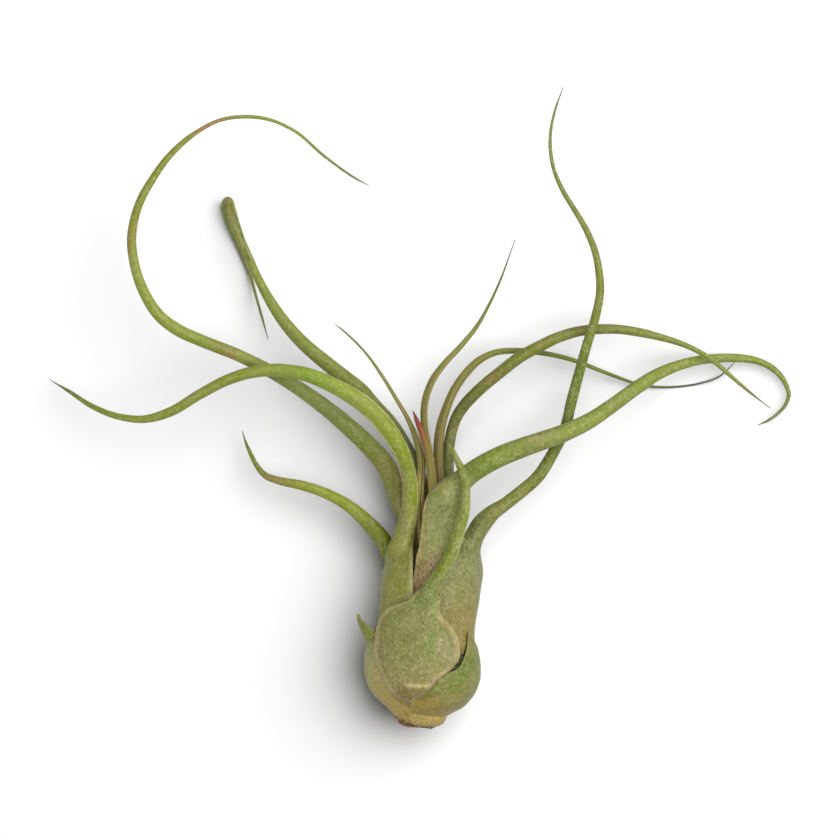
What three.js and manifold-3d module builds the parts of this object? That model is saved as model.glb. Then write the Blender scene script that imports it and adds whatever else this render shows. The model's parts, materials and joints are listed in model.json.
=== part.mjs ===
// An air plant lying on its back: a bulb of overlapping leaf sheaths and the long rolled blades
// that grow out of it. Millimetres. +Y runs from the root end to the leaf ends, +X to the right,
// +Z up, away from the surface. The origin is on the surface, at the flat spot under the bulb.
import * as THREE from 'three';
import { mergeVertices } from 'three/addons/utils/BufferGeometryUtils.js';
import Module from 'manifold-3d';

const wasm = await Module();
wasm.setup();

// ---- driving dimensions -------------------------------------------------------------------

const AXIS_FOOT = new THREE.Vector3(-1.8, -20, 15.8); // lower end of the bulb's axis
const AXIS_NECK = new THREE.Vector3(3.8, 46.5, 17.1); // where the axis leaves the bulb's neck
const THICKNESS = 0.8; // of a leaf, sheath and blade alike
const LEAST_BORE = 0.2; // radius of the hollow in a thin rolled blade, as a share of its own
const LAYER_PITCH = 1.75; // from one sheath layer to the next
const SEAT_GAP = 0.4; // between a sheath's foot and the stem
const SEAT_STEP = 0.1; // how finely the height of a sheath's foot is found
const PRESSED_RADIUS = 8; // sheaths wider than this lie pressed flat on the surface
const ROLLED = 152; // half of the angle that a rolled blade closes round, in degrees
const TIP_WIDTH = 0.6;
const SHEATH_STEP = 5; // length of one facet along a sheath
const BLADE_STEP = 7; // and along a blade
const FACETS = 9; // facets across a leaf
const STEM_SIDES = 24;

// Height along the axis and radius of the bulb's second layer of sheaths.
const BULB = [
  [0, 5.0], [3, 7.5], [5, 9.9], [7.5, 12.5], [10, 14.3], [14, 15.5], [20, 15.7], [26, 15.2],
  [36, 15.1], [45, 14.8], [50, 14.1], [55, 12.8], [60, 11.2], [66, 10.5],
];
// Height along the axis and radius of the stem that carries the leaves.
const STEM = [
  [-1.1, 4.6], [-0.7, 5.6], [-0.1, 6.3], [0.7, 6.9], [1.7, 7.3], [2.8, 7.4], [4, 7], [6, 6],
  [8, 5], [11, 3.6], [14, 2.4],
];

const COLOURS = {
  blade: 0x87973c,
  sheath: 0x969a66,
  young: 0x938c58,
  stem: 0xb8a356,
  root: 0x5a3520,
  bud: 0xa85a48,
};

// Each leaf, from the outside in. layer counts inwards from the second layer of sheaths.
// sheath: height along the axis, azimuth of its middle (0 faces up, 90 faces +X) and half of
// the angle that it wraps round the axis, in degrees, and its own layer there if that differs.
// blade: x, y, z of the middle of the roll, its width, and half of its angle where it is open.
// turn: azimuth that the blade's back faces at its end.
const LEAVES = {
  leaf_front_short: {
    layer: -2, colour: 'sheath',
    sheath: [[0, -19, 6, -1], [5.5, -19, 6, -1], [7.7, -16, 11, -1.6], [9.6, -13, 18],
      [12.4, -15, 26], [14.6, -14, 32],
      [17, -12, 39], [21, -10.5, 44.5], [26.6, -12.5, 43.5], [30.6, -16, 36], [33.2, -16, 28],
      [35, -11, 21], [36.6, -4.5, 15]],
    blade: [[1.5, 19.5, 31.8, 6, 80], [5.4, 25.5, 31.7, 5.1, 92], [8.4, 31.5, 30.8, 4.3, 118],
      [10.5, 37.5, 29.8, 4.1], [12, 43.5, 29.3, 3.8], [12.3, 48, 29.2, 3.3], [12, 52.5, 28.7, 3],
      [11, 55.5, 28.2, 2.6], [9.6, 58.5, 27.6, 2], [8.2, 61.5, 27, 1.4], [6.6, 63.9, 26.4]],
    turn: -20,
  },
  sheath_left_short: {
    layer: -1, colour: 'sheath',
    sheath: [[0, -67, 38], [6, -67, 39], [10, -68, 38, -1.1], [14, -71, 36, -1.2],
      [19, -73, 34, -1.2], [22, -78, 29, -1.2]],
    blade: [[-10.3, 7.2, 16.1, 16.4, 42], [-11.9, 10.8, 17, 15.6, 24], [-12.8, 13.9, 18.2, 16, 2.8]],
    turn: -72,
  },
  sheath_right_short: {
    layer: -1, colour: 'sheath',
    sheath: [[2.9, 61, 68], [6, 62, 67], [9, 64, 65], [12, 67, 62], [14.6, 70, 59], [16.7, 80, 48],
      [17.9, 83, 44.5], [19.4, 85, 41], [21.5, 85, 36], [23.9, 74, 22.5], [26, 60, 8],
      [27.2, 55, 2]],
    blade: [],
  },
  leaf_left_low: {
    layer: -1, colour: 'blade',
    sheath: [[0, -172, 47], [8, -172, 47], [14, -172, 48], [20, -172, 48], [26, -172, 48],
      [32, -168, 44], [38, -160, 32, -0.6], [43, -143, 20, 0.3]],
    blade: [[-9.8, 29.5, 9.2, 6.2, 60], [-11.6, 33.2, 11, 5.4, 110], [-14.1, 36.5, 12, 5.1],
      [-17.7, 40.2, 12.6, 4.5],
      [-22.5, 44.4, 13, 3.8], [-28.5, 47.9, 13, 3.3], [-37.5, 51, 12.5, 3],
      [-43.5, 52.2, 12, 2.5], [-48, 53.9, 11, 2.1], [-50.7, 57, 9.5, 1.6],
      [-52.5, 60.6, 8, 1.3], [-53.7, 63.3, 7.2, 0.9], [-54.9, 67.2, 6]],
    turn: -90,
  },
  leaf_left_arch: {
    layer: 0, colour: 'blade',
    sheath: [[0, -78, 56], [8, -80, 58], [14, -80, 60], [21, -80, 60], [30, -80, 60],
      [37.5, -70, 50], [43, -67, 45], [48, -62, 37]],
    blade: [[-6.9, 34.5, 19.6, 6.6, 138], [-5, 41, 20.4, 5.7, 150], [-4.5, 49.5, 22, 5.3],
      [-6.2, 58.5, 24.5, 5.2], [-10.8, 66.9, 27.5, 6], [-16.5, 73.5, 29.5, 5.9],
      [-25.5, 79.8, 31, 5.1], [-37.5, 84.6, 31, 4.3], [-49.5, 85.2, 30, 3.8],
      [-58.5, 82.8, 28, 3.4], [-67.5, 78.2, 26, 3.2], [-76.5, 72.9, 24, 3],
      [-84, 70.8, 22, 2.5], [-91.5, 71.5, 19.5, 2.1], [-100.5, 75, 14.5, 1.7],
      [-106.5, 78.9, 10, 1.2], [-112.8, 82.7, 6]],
    turn: -50,
  },
  leaf_right_tall: {
    layer: 0, colour: 'blade',
    sheath: [[0, 72, 52], [8, 70, 60], [14, 68, 61], [21, 66, 60], [30, 65, 59], [37.5, 64, 60],
      [43, 65, 53], [47.5, 68, 45], [51, 74, 34]],
    blade: [[12.4, 34, 17.6, 9.6, 72], [15.2, 37, 18.2, 6.6, 120], [17.5, 40.1, 18.5, 6],
      [20.1, 42.7, 19, 5.1],
      [24.3, 45.6, 19.2, 4.2], [28.5, 48.9, 19.2, 4.1], [33.6, 53.4, 18.8, 4],
      [38.4, 60.9, 18, 3.7], [41.7, 67.5, 17.2, 3.5], [43.8, 75.9, 17.2, 3.5],
      [46.2, 84.9, 18, 3.3], [48.6, 93.6, 19.5, 3.1], [51, 101.4, 21, 2.9],
      [52.4, 109.5, 22.5, 2.7], [52, 115.5, 23.2, 2.5], [50.7, 121.5, 23.8, 2.3],
      [48.2, 127.5, 24, 2.1], [44.7, 133.5, 24, 1.8], [41.1, 139.5, 24, 1.6],
      [38.6, 145.5, 23.5, 1.3], [37.5, 152.1, 23, 1.2], [37.7, 157.5, 22, 1],
      [39, 163.5, 21, 0.8], [41.4, 170.4, 20]],
    turn: 60,
  },
  leaf_right_long: {
    layer: 1, colour: 'blade',
    sheath: [[0, 25, 48], [10, 25, 50], [20, 25, 48], [30, 26, 47], [40, 26, 46],
      [48.5, 22, 41], [54.5, 12, 33], [60, 9, 31]],
    blade: [[8.1, 48, 22.4, 9, 100], [12.6, 53.7, 23, 6.7, 125], [16.5, 56.4, 23.5, 6.4],
      [22.5, 59.6, 24.2, 6.3], [28.5, 62, 24.6, 6.1], [34.5, 64.1, 24.8, 5.8],
      [42.3, 66.9, 24.5, 5.4], [49.5, 70.4, 23.5, 4.9], [55.5, 74.4, 21.5, 4.5],
      [64.5, 80.9, 16.5, 4.2], [70.5, 84.6, 12.5, 3.7], [76.5, 87, 9.5, 3.2],
      [82.5, 88.5, 7.5, 2.9], [88.5, 89.1, 6, 2.8], [94.5, 89.1, 5, 2.6], [99, 88.5, 4.3, 2.3],
      [103.5, 86.7, 3.7, 2.1], [106.5, 84.3, 3.3, 1.9], [108.5, 81.3, 3.2, 1.6],
      [109.4, 78, 3.2, 1.4], [108.3, 74.9, 3.2, 1.2], [105.9, 72.3, 3.3, 1],
      [102.9, 70.2, 3.5, 0.8], [100.2, 69, 3.6]],
    turn: 20,
  },
  leaf_left_loop: {
    layer: 2, colour: 'blade',
    sheath: [[0, -140, 38], [10, -140, 38], [18, -140, 34], [26, -140, 20]],
    blade: [[-5.7, 15, 10.2, 5.6, 54], [-3.8, 24, 10, 6.2, 115], [-3.1, 32, 10.2, 6.1, 135],
      [-5.7, 42, 11.8, 6.2], [-7.8, 46.8, 12, 6], [-9.6, 51.6, 12.5, 6],
      [-12, 57, 13.5, 6], [-16.5, 62.4, 15, 5.7], [-22.5, 68.1, 17, 5.4],
      [-34.5, 77.7, 20, 4.6], [-46.5, 85.2, 23, 4], [-55.5, 89.7, 25, 3.8],
      [-67.5, 94.5, 27.5, 3.8], [-73.5, 97.2, 28.5, 3.8], [-79.5, 101.7, 29.5, 3.6],
      [-84.3, 109.2, 30.3, 3.3], [-87.2, 118.5, 31, 3], [-87.8, 124.5, 31.3, 2.9],
      [-87, 130.5, 31.5, 2.7], [-85, 136.5, 31.5, 2.6], [-81.6, 142.5, 31.3, 2.4],
      [-77.4, 148.5, 31, 2.1], [-72.6, 153.4, 30.5, 1.8], [-67.5, 157.2, 30, 1.4],
      [-61.5, 160.2, 29.5, 1.2], [-53.7, 161.3, 29, 1.2], [-46.5, 160.4, 28.5, 1.1],
      [-39.3, 157.2, 28, 1], [-30, 149.4, 27, 0.9], [-21, 143, 25.5, 0.7],
      [-16.8, 140.7, 25]],
    turn: -60,
  },
  leaf_right_arch: {
    layer: 1, colour: 'blade',
    sheath: [[0, 130, 34], [10, 130, 36], [18, 130, 34], [26, 132, 24]],
    blade: [[8.6, 15, 9.6, 6, 75], [8.8, 24, 9.8, 5, 115], [8.6, 32, 10.2, 4.6, 135],
      [7.8, 40, 10.8, 4.4], [7, 48, 11.4, 4.2], [6.8, 56, 12.2, 3.8],
      [7.2, 63, 12.5, 3.5], [8.1, 67.5, 12.8, 3.4], [9.6, 71.7, 13.3, 3.5],
      [11.3, 74.3, 13.8, 3.6], [16.5, 79.8, 15.2, 3.7], [22.5, 84.8, 16.5, 3.7],
      [28.5, 89.4, 17.2, 3.65], [34.5, 92.7, 17, 3.6], [40.5, 95.5, 16, 3.4],
      [46.5, 97.2, 14.8, 3.2], [52.5, 97.8, 13.8, 3.1], [58.5, 97.7, 13, 2.9],
      [64.5, 96.8, 12.5, 2.8], [70.5, 95.4, 12, 2.3], [76.5, 93.6, 11.6, 1.9],
      [82.5, 90.9, 11.2, 1.6], [87, 87.9, 11, 1.5], [91.5, 84, 10.5, 1.3],
      [97.5, 78.9, 9.5, 0.9], [103.8, 74, 8]],
    turn: 60,
  },
  leaf_left_folded: {
    layer: 3, colour: 'blade',
    sheath: [[0, -180, 38], [10, -180, 38], [18, -180, 34], [26, -180, 20]],
    blade: [[3.4, 15, 7.6, 5.6, 52], [3.2, 24, 8, 6, 115], [3.3, 32, 7.8, 5.4, 135],
      [1.6, 40, 10, 5.6], [-1, 50, 12, 5.2], [-3.6, 57.5, 12.8, 5],
      [-6.2, 62.4, 13, 5], [-10.5, 69.3, 13, 4.9], [-15.3, 74.7, 13.3, 4.8],
      [-19.5, 79.5, 13.5, 4.8], [-24, 83.1, 13.5, 4.7], [-30, 87.9, 13.5, 4.5],
      [-36, 93, 13.5, 4.2], [-42, 99.6, 13, 3.9], [-48, 108.9, 12, 3.2],
      [-52.5, 119.1, 10.5, 2.6], [-55.2, 127.5, 9, 2.4], [-57.3, 134.2, 7.4, 2.2],
      [-58.6, 136.4, 5.4, 2.1], [-60, 136.7, 3.2, 2.1], [-60.9, 135.2, 1.6, 2.2],
      [-60.5, 132.2, 1.1, 2.3], [-58.8, 128.4, 1.1, 2.1], [-56.4, 123.6, 0.9, 1.8],
      [-54, 118.5, 0.9, 1.4], [-52.3, 113.4, 1.3, 1.1], [-50.6, 107, 2.5, 0.8],
      [-48.9, 101.1, 4, 0.7], [-47.2, 94.8, 6]],
    turn: -150,
  },
  leaf_thin_right: {
    layer: 5.5, colour: 'young',
    sheath: [[0, 70, 40], [15, 70, 40], [25, 72, 36]],
    blade: [[6.4, 16, 17, 4, 100], [6.4, 30, 16.5, 3.6], [5.4, 42, 15.8, 3.3],
      [4.3, 52, 15.4, 3.2], [3.9, 61.5, 15.2, 3.2], [4.8, 69.3, 15.2, 3.1],
      [6, 73.2, 15, 2.9], [9, 80.1, 14.4, 2.7], [12.6, 85.1, 13.4, 2.6],
      [16.5, 88.7, 12.4, 2.4], [21, 90.8, 11.2, 2.1], [27, 91.4, 9.8, 2], [33, 91, 8.6, 1.8],
      [39, 90, 7.4, 1.6], [45, 88.4, 6.2, 1.5], [52.5, 85.5, 4.2, 1.3], [58.5, 83.2, 2.7, 1.1],
      [64.5, 81.2, 1.4, 0.9], [71, 80.4, 0.5, 0.8], [76.5, 80.6, 0.4, 0.7],
      [82.5, 81.5, 0.7, 0.6], [88.5, 83.6, 1.8, 0.6], [93.3, 88, 3.5]],
    turn: 60,
  },
  leaf_thin_middle: {
    layer: 5.5, colour: 'young',
    sheath: [[0, -65, 40], [15, -65, 40], [25, -65, 36]],
    blade: [[-0.6, 16, 20, 3.8, 100], [0.1, 30, 19.2, 3], [1.2, 42, 18.7, 2.9],
      [2.4, 50, 18.6, 3], [2, 56, 18.4, 2.8], [1.5, 60, 18.2, 2.6], [0, 69, 17.6, 2.4],
      [-0.2, 72.9, 17.6, 2.4], [0.6, 78, 17.7, 2.4], [2.4, 82.5, 17.8, 2.3],
      [6, 87.5, 18, 2], [10.5, 92.3, 18, 1.8], [15.6, 98.6, 18, 1.4], [19.5, 105.6, 18, 0.9],
      [22.5, 112.2, 18, 0.7], [27, 124.5, 18]],
    turn: -150,
  },
  leaf_thin_left: {
    layer: 5.5, colour: 'young',
    sheath: [[0, -180, 40], [15, -180, 40], [25, -180, 34]],
    blade: [[0.8, 16, 13.4, 3.4, 100], [-0.4, 30, 15, 2.8], [-1.6, 42, 17.4, 2.4],
      [-1.5, 50, 18.4, 2.6], [-1.1, 57.9, 17.8, 2.6], [-2.7, 65.1, 17.2, 2.1],
      [-5.1, 70.8, 17.8, 1.5], [-8.4, 76.5, 19, 1.3], [-12.6, 83.4, 20.3, 1.1],
      [-18, 90.9, 21, 0.8], [-24, 96.9, 21.5, 0.6], [-27, 99.3, 21.5]],
    turn: -120,
  },
};

// The bud and the thin stalk below it: x, y, z and width.
const BUD = [
  [0.2, -4.2, 16.4, 3.4], [1, 4, 16.8, 2.6], [2.4, 16, 18.6, 2], [3.4, 30, 20.4, 2],
  [3, 42, 21.4, 2], [2, 50, 21.4, 2.2], [1.3, 57, 21.6, 2.4], [0.6, 61.5, 21.4, 2.2],
  [-0.3, 64.5, 21.2, 2.2], [-1.3, 67.5, 21.1, 2], [-2.5, 70.5, 21, 1.4], [-3.6, 73.2, 21, 0.6],
];
const BUD_SIDES = 8;

// Dry root stubs round the foot of the stem: azimuth, length, width at the root and lean.
const ROOTS = [
  [-92, 3.6, 1.1, 0.05], [-68, 3.2, 1.1, 0.1], [-44, 2.6, 1, 0.1], [-18, 1.9, 1, 0.15],
  [10, 1.6, 1.1, 0.2], [38, 1.8, 1, 0.2], [68, 1.4, 1.1, 0.2], [110, 1.4, 1.1, 0.25],
  [155, 1.8, 1.1, 0.2], [-165, 2, 1.1, 0.2], [-125, 2.8, 1.1, 0.1],
];
const ROOT_SIDES = 6;
const ROOT_TIP = 0.22; // radius of a stub's tip, as a share of the width at its root
const ROOT_DISC = { radius: 4.2, rim: 3.5, from: -2.3, widest: -2, to: -1.6, sides: 18 };

// ---- small helpers ------------------------------------------------------------------------

const AXIS = AXIS_NECK.clone().sub(AXIS_FOOT).normalize();
const UP = new THREE.Vector3(0, 0, 1);
const radians = THREE.MathUtils.degToRad;

const material = (name, roughness = 0.7) =>
  new THREE.MeshStandardMaterial({ color: COLOURS[name], roughness, metalness: 0 });

// Straight-line reading of a list of [position, value].
function read(list, at) {
  const last = list.length - 1;
  if (at <= list[0][0]) return list[0][1];
  if (at >= list[last][0]) return list[last][1];
  const i = list.findIndex((row) => row[0] >= at);
  const [a, b] = [list[i - 1], list[i]];
  return a[1] + ((b[1] - a[1]) * (at - a[0])) / (b[0] - a[0]);
}

// How much longer a layer's thickness is when it is measured across the axis, not the sheath.
function slant(height) {
  const span = 1.5;
  const slope = (read(BULB, height + span) - read(BULB, height - span)) / (2 * span);
  return Math.hypot(1, slope);
}

const layerRadius = (height, layer) => read(BULB, height) - layer * LAYER_PITCH * slant(height);

// The height where a layer's inner face has come clear of the stem.
function footHeight(layer) {
  let height = 1;
  const clear = () =>
    layerRadius(height, layer) - THICKNESS * slant(height) - SEAT_GAP > read(STEM, height);
  while (!clear()) height += SEAT_STEP;
  return height;
}

// The direction that an azimuth faces, across a leaf that runs along the given direction.
function facing(azimuth, along) {
  const side = along.clone().cross(UP).normalize();
  const top = side.clone().cross(along);
  const angle = radians(azimuth);
  return top.multiplyScalar(Math.cos(angle)).addScaledVector(side, Math.sin(angle));
}

// Rows of numbers joined by smooth curves: between two rows every number follows a cubic whose
// slope at a row is the mean of the slopes on its two sides, weighed by their lengths. The last
// three, which give the section's size, take the harmonic mean, so that they never overshoot.
function smooth(rows, lengths, steps) {
  const slopes = rows.map((row, i) =>
    row.map((value, k) => {
      const back = i > 0 ? (value - rows[i - 1][k]) / lengths[i - 1] : null;
      const next = i < rows.length - 1 ? (rows[i + 1][k] - value) / lengths[i] : null;
      if (back === null) return next;
      if (next === null) return back;
      if (k >= SECTION) return back * next > 0 ? (2 * back * next) / (back + next) : 0;
      return (back * lengths[i] + next * lengths[i - 1]) / (lengths[i] + lengths[i - 1]);
    }),
  );
  const out = [rows[0]];
  for (let i = 0; i + 1 < rows.length; i++) {
    for (let s = 1; s <= steps[i]; s++) {
      const t = s / steps[i];
      const h = lengths[i];
      out.push(rows[i].map((value, k) =>
        value * (1 - 3 * t * t + 2 * t * t * t) + rows[i + 1][k] * (3 * t * t - 2 * t * t * t) +
        slopes[i][k] * h * t * (1 - t) * (1 - t) - slopes[i + 1][k] * h * t * t * (1 - t)));
    }
  }
  return out;
}

// Faces of a closed skin: rings of equally many points, joined in order, with both ends capped
// by a strip of quads that pairs the first half of a ring with its second half.
function skin(rings) {
  const n = rings[0].length;
  const positions = rings.flat().flatMap((p) => [p.x, p.y, p.z]);
  const index = [];
  for (let i = 0; i + 1 < rings.length; i++) {
    for (let k = 0; k < n; k++) {
      const [a, b] = [i * n + k, i * n + ((k + 1) % n)];
      index.push(a, b, a + n, b, b + n, a + n);
    }
  }
  const end = (rings.length - 1) * n;
  for (let k = 0; k < n / 2 - 1; k++) {
    const far = n - 1 - k;
    index.push(k, far, k + 1, k + 1, far, far - 1);
    index.push(end + k, end + k + 1, end + far, end + k + 1, end + far - 1, end + far);
  }
  const geometry = new THREE.BufferGeometry();
  geometry.setAttribute('position', new THREE.Float32BufferAttribute(positions, 3));
  geometry.setIndex(index);
  return geometry;
}

// ---- leaves -------------------------------------------------------------------------------

const SECTION = 9; // place in a row of the first number that gives the section's size

// One row for each station: point on the middle of the leaf's back, direction the back faces,
// direction that the section is square to, thickness, and the logarithms of the section's
// radius and of its half-width, so that both change by equal shares along a stretch of leaf.
function stations({ layer, sheath, blade, turn }) {
  const rows = [];
  const size = (thickness, radius, half) => [thickness, Math.log(radius),
    Math.log(radius * radians(half))];
  const foot = footHeight(sheath[0][3] ?? layer);
  for (const [height, azimuth, half, ownLayer = layer] of sheath) {
    const at = Math.max(height, foot);
    const radius = layerRadius(at, ownLayer);
    const back = facing(azimuth, AXIS);
    const middle = AXIS_FOOT.clone().addScaledVector(AXIS, at).addScaledVector(back, radius);
    rows.push([...middle.toArray(), ...back.toArray(), ...AXIS.toArray(),
      ...size(THICKNESS * slant(at), radius, half)]);
  }
  const centres = blade.map(([x, y, z]) => new THREE.Vector3(x, y, z));
  const start = sheath.at(-1)[1];
  centres.forEach((centre, i) => {
    const before = centres[Math.max(i - 1, 0)];
    const after = centres[Math.min(i + 1, centres.length - 1)];
    const along = after.clone().sub(before).normalize();
    if (i === 0) along.lerp(AXIS, 0.5).normalize();
    const [, , , width = TIP_WIDTH, half = ROLLED] = blade[i];
    const azimuth = THREE.MathUtils.lerp(start, turn, (i + 1) / centres.length);
    const back = facing(azimuth, along);
    const middle = centre.clone().addScaledVector(back, width / 2);
    rows.push([...middle.toArray(), ...back.toArray(), ...along.toArray(),
      ...size(THICKNESS, width / 2, half)]);
  });
  const gaps = rows.slice(1).map((row, i) =>
    Math.hypot(row[0] - rows[i][0], row[1] - rows[i][1], row[2] - rows[i][2]));
  const steps = gaps.map((gap, i) =>
    Math.max(1, Math.round(gap / (i < sheath.length ? SHEATH_STEP : BLADE_STEP))));
  return smooth(rows, gaps, steps);
}

// A leaf's section is an arc of the given half-width with a constant thickness. Nothing of it
// reaches below the surface that the plant lies on: the back is pressed flat there.
function leafGeometry(leaf) {
  const rings = stations(leaf).map((row) => {
    const [middle, back, along] = [0, 3, 6].map((k) => new THREE.Vector3(...row.slice(k, k + 3)));
    const [thickness, ...logs] = row.slice(SECTION);
    const [radius, halfWidth] = logs.map(Math.exp);
    along.normalize();
    back.addScaledVector(along, -back.dot(along)).normalize();
    const side = along.clone().cross(back);
    const centre = middle.addScaledVector(back, -radius);
    const inner = Math.max(radius - thickness, radius * LEAST_BORE);
    const arc = (size, floor) => Array.from({ length: FACETS + 1 }, (_, k) => {
      const angle = (halfWidth / radius) * ((2 * k) / FACETS - 1);
      const point = centre.clone().addScaledVector(back, size * Math.cos(angle));
      point.addScaledVector(side, size * Math.sin(angle));
      point.z = Math.max(point.z, floor);
      return point;
    });
    return [...arc(radius, 0), ...arc(inner, radius > PRESSED_RADIUS ? THICKNESS : 0).reverse()];
  });
  return skin(rings);
}

// ---- bud, stem and roots --------------------------------------------------------------------

function budGeometry() {
  const centres = BUD.map(([x, y, z]) => new THREE.Vector3(x, y, z));
  const rings = centres.map((centre, i) => {
    const after = centres[Math.min(i + 1, centres.length - 1)];
    const along = after.clone().sub(centres[Math.max(i - 1, 0)]).normalize();
    return Array.from({ length: BUD_SIDES }, (_, k) =>
      centre.clone().addScaledVector(facing((360 * k) / BUD_SIDES, along), BUD[i][3] / 2));
  });
  return skin(rings);
}

// A turned shape about the bulb's axis.
function turned(profile, sides) {
  const first = profile[0];
  const last = profile.at(-1);
  const points = [[first[0], 0], ...profile, [last[0], 0]];
  const lathe = new THREE.LatheGeometry(points.map(([at, r]) => new THREE.Vector2(r, at)), sides);
  lathe.applyQuaternion(new THREE.Quaternion().setFromUnitVectors(new THREE.Vector3(0, 1, 0), AXIS));
  lathe.translate(...AXIS_FOOT.toArray());
  return lathe;
}

function toSolid(geometry) {
  const plain = geometry.clone();
  plain.deleteAttribute('normal');
  plain.deleteAttribute('uv');
  const merged = mergeVertices(plain, 1e-4);
  return new wasm.Manifold(new wasm.Mesh({
    numProp: 3,
    vertProperties: new Float32Array(merged.attributes.position.array),
    triVerts: new Uint32Array(merged.index.array),
  }));
}

function fromSolid(solid) {
  const { vertProperties, triVerts } = solid.getMesh();
  const geometry = new THREE.BufferGeometry();
  geometry.setAttribute('position', new THREE.BufferAttribute(vertProperties, 3));
  geometry.setIndex(new THREE.BufferAttribute(triVerts, 1));
  return geometry;
}

// A ragged disc of old root stock with a tapered stub for each dry root.
function rootGeometry() {
  const { radius, rim, from, widest, to, sides } = ROOT_DISC;
  let solid = toSolid(turned([[from, rim], [widest, radius], [to, radius]], sides));
  const middle = (from + to) / 2;
  for (const [azimuth, length, width, lean] of ROOTS) {
    const stub = new THREE.CylinderGeometry(width * ROOT_TIP, width / 2, length, ROOT_SIDES);
    stub.translate(0, length / 2, 0);
    const out = facing(azimuth, AXIS).addScaledVector(AXIS, -lean).normalize();
    stub.applyQuaternion(new THREE.Quaternion().setFromUnitVectors(new THREE.Vector3(0, 1, 0), out));
    const seat = AXIS_FOOT.clone().addScaledVector(AXIS, middle);
    seat.addScaledVector(facing(azimuth, AXIS), radius - width / 2);
    stub.translate(...seat.toArray());
    solid = solid.add(toSolid(stub));
  }
  return fromSolid(solid);
}

// ---- the plant ------------------------------------------------------------------------------

const plant = new THREE.Group();

function addPiece(name, geometry, finish) {
  const piece = new THREE.Mesh(geometry, finish);
  piece.name = name;
  plant.add(piece);
}

addPiece('stem_base', fromSolid(toSolid(turned(STEM, STEM_SIDES))), material('stem', 0.6));
addPiece('dry_roots', rootGeometry(), material('root', 0.9));
addPiece('flower_bud', budGeometry(), material('bud', 0.5));
for (const [name, leaf] of Object.entries(LEAVES)) {
  addPiece(name, leafGeometry(leaf), material(leaf.colour));
}

export default plant;
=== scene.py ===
import json

import bpy
import numpy as np
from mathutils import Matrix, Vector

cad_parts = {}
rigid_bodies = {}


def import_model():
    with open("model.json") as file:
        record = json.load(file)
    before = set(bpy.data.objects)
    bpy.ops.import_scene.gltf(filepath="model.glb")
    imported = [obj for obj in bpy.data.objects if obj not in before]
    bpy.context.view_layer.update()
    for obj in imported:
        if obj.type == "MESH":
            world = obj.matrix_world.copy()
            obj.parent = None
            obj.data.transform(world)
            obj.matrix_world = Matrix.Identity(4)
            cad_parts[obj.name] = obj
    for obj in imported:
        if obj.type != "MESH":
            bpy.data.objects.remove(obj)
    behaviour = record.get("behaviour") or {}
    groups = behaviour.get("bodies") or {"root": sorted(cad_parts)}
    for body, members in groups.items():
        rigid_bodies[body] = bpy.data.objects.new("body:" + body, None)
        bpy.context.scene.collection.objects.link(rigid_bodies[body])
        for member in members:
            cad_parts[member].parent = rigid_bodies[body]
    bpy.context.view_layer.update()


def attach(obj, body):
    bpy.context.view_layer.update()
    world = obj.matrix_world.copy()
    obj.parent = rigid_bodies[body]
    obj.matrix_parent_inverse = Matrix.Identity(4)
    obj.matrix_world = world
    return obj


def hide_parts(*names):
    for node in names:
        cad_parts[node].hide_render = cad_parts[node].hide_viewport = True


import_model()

# ---- Stem ------------------------------------------------------------------------------------
# The short woody core that every leaf grows from: fibrous yellow ochre tissue, ringed by the
# scars of shed leaves, with a rounded, broken end. The leaf sheaths clasp it from all sides.
# Sizes are in millimetres until a mesh is made. +Y runs from the root end to the leaf ends.

MM = 0.001
UP = np.array([0.0, 0.0, 1.0])
AXIS_FOOT = np.array([-1.8, -20.0, 15.8])  # lower end of the bulb's axis
AXIS_NECK = np.array([3.8, 46.5, 17.1])  # where the axis leaves the bulb's neck
AXIS = (AXIS_NECK - AXIS_FOOT) / np.linalg.norm(AXIS_NECK - AXIS_FOOT)

# Height along the axis and radius. The end is worn and leans to the right.
STEM = np.array([
    [-1.25, 3.6], [-1.1, 4.6], [-0.7, 5.7], [-0.1, 6.6], [0.7, 7.2], [1.4, 7.7], [2, 8],
    [2.8, 8.2], [4, 7.7], [6, 6.2], [8, 5], [11, 3.6], [14, 2.4],
])
END_LEAN = 0.7  # how far to the right the lower end's middle lies
STRAIGHT_FROM = 3  # height above which the stem doesn't lean
STEM_FACETS = 96
STEM_RINGS = 110
SCAR_SPACING = 0.9
SCAR_DEPTH = 0.05
SCAR_TILT = 0.5  # how far a scar's line rises and falls round the stem
LOBE_HEIGHT = 0.1  # of the five low lobes that wind up the stem
FIBRE_SPACING = 0.35
ZONE_SIZE = 4  # of the stem's ripe and green zones


def soft_step(low, high, values):
    """0 at low and 1 at high, with a smooth rise between them."""
    share = np.clip((values - low) / (high - low), 0, 1)
    return share * share * (3 - 2 * share)


def unit(vectors):
    """Vectors of length 1, along the last axis."""
    return vectors / np.linalg.norm(vectors, axis=-1, keepdims=True)


def facing(azimuth, along):
    """Direction square to `along`: the highest one at 0 degrees, the right-hand one at 90."""
    side = unit(np.cross(along, UP))
    top = np.cross(side, along)
    angle = np.radians(np.asarray(azimuth, float))[..., None]
    return np.cos(angle) * top + np.sin(angle) * side


def linear(colour):
    """An sRGB hex colour as linear red, green, blue and an alpha of 1."""
    srgb = np.array([int(colour[i:i + 2], 16) for i in (1, 3, 5)]) / 255
    light = np.where(srgb <= 0.04045, srgb / 12.92, ((srgb + 0.055) / 1.055) ** 2.4)
    return (*light.tolist(), 1.0)


def plug(tree, node, sockets):
    """Gives a node's sockets, by name or number, their values or links from other nodes. A node
    given as a value stands for its first output."""
    for socket, value in sockets.items():
        if isinstance(value, bpy.types.Node):
            value = value.outputs[0]
        if isinstance(value, bpy.types.NodeSocket):
            tree.links.new(value, node.inputs[socket])
        else:
            node.inputs[socket].default_value = value


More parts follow.
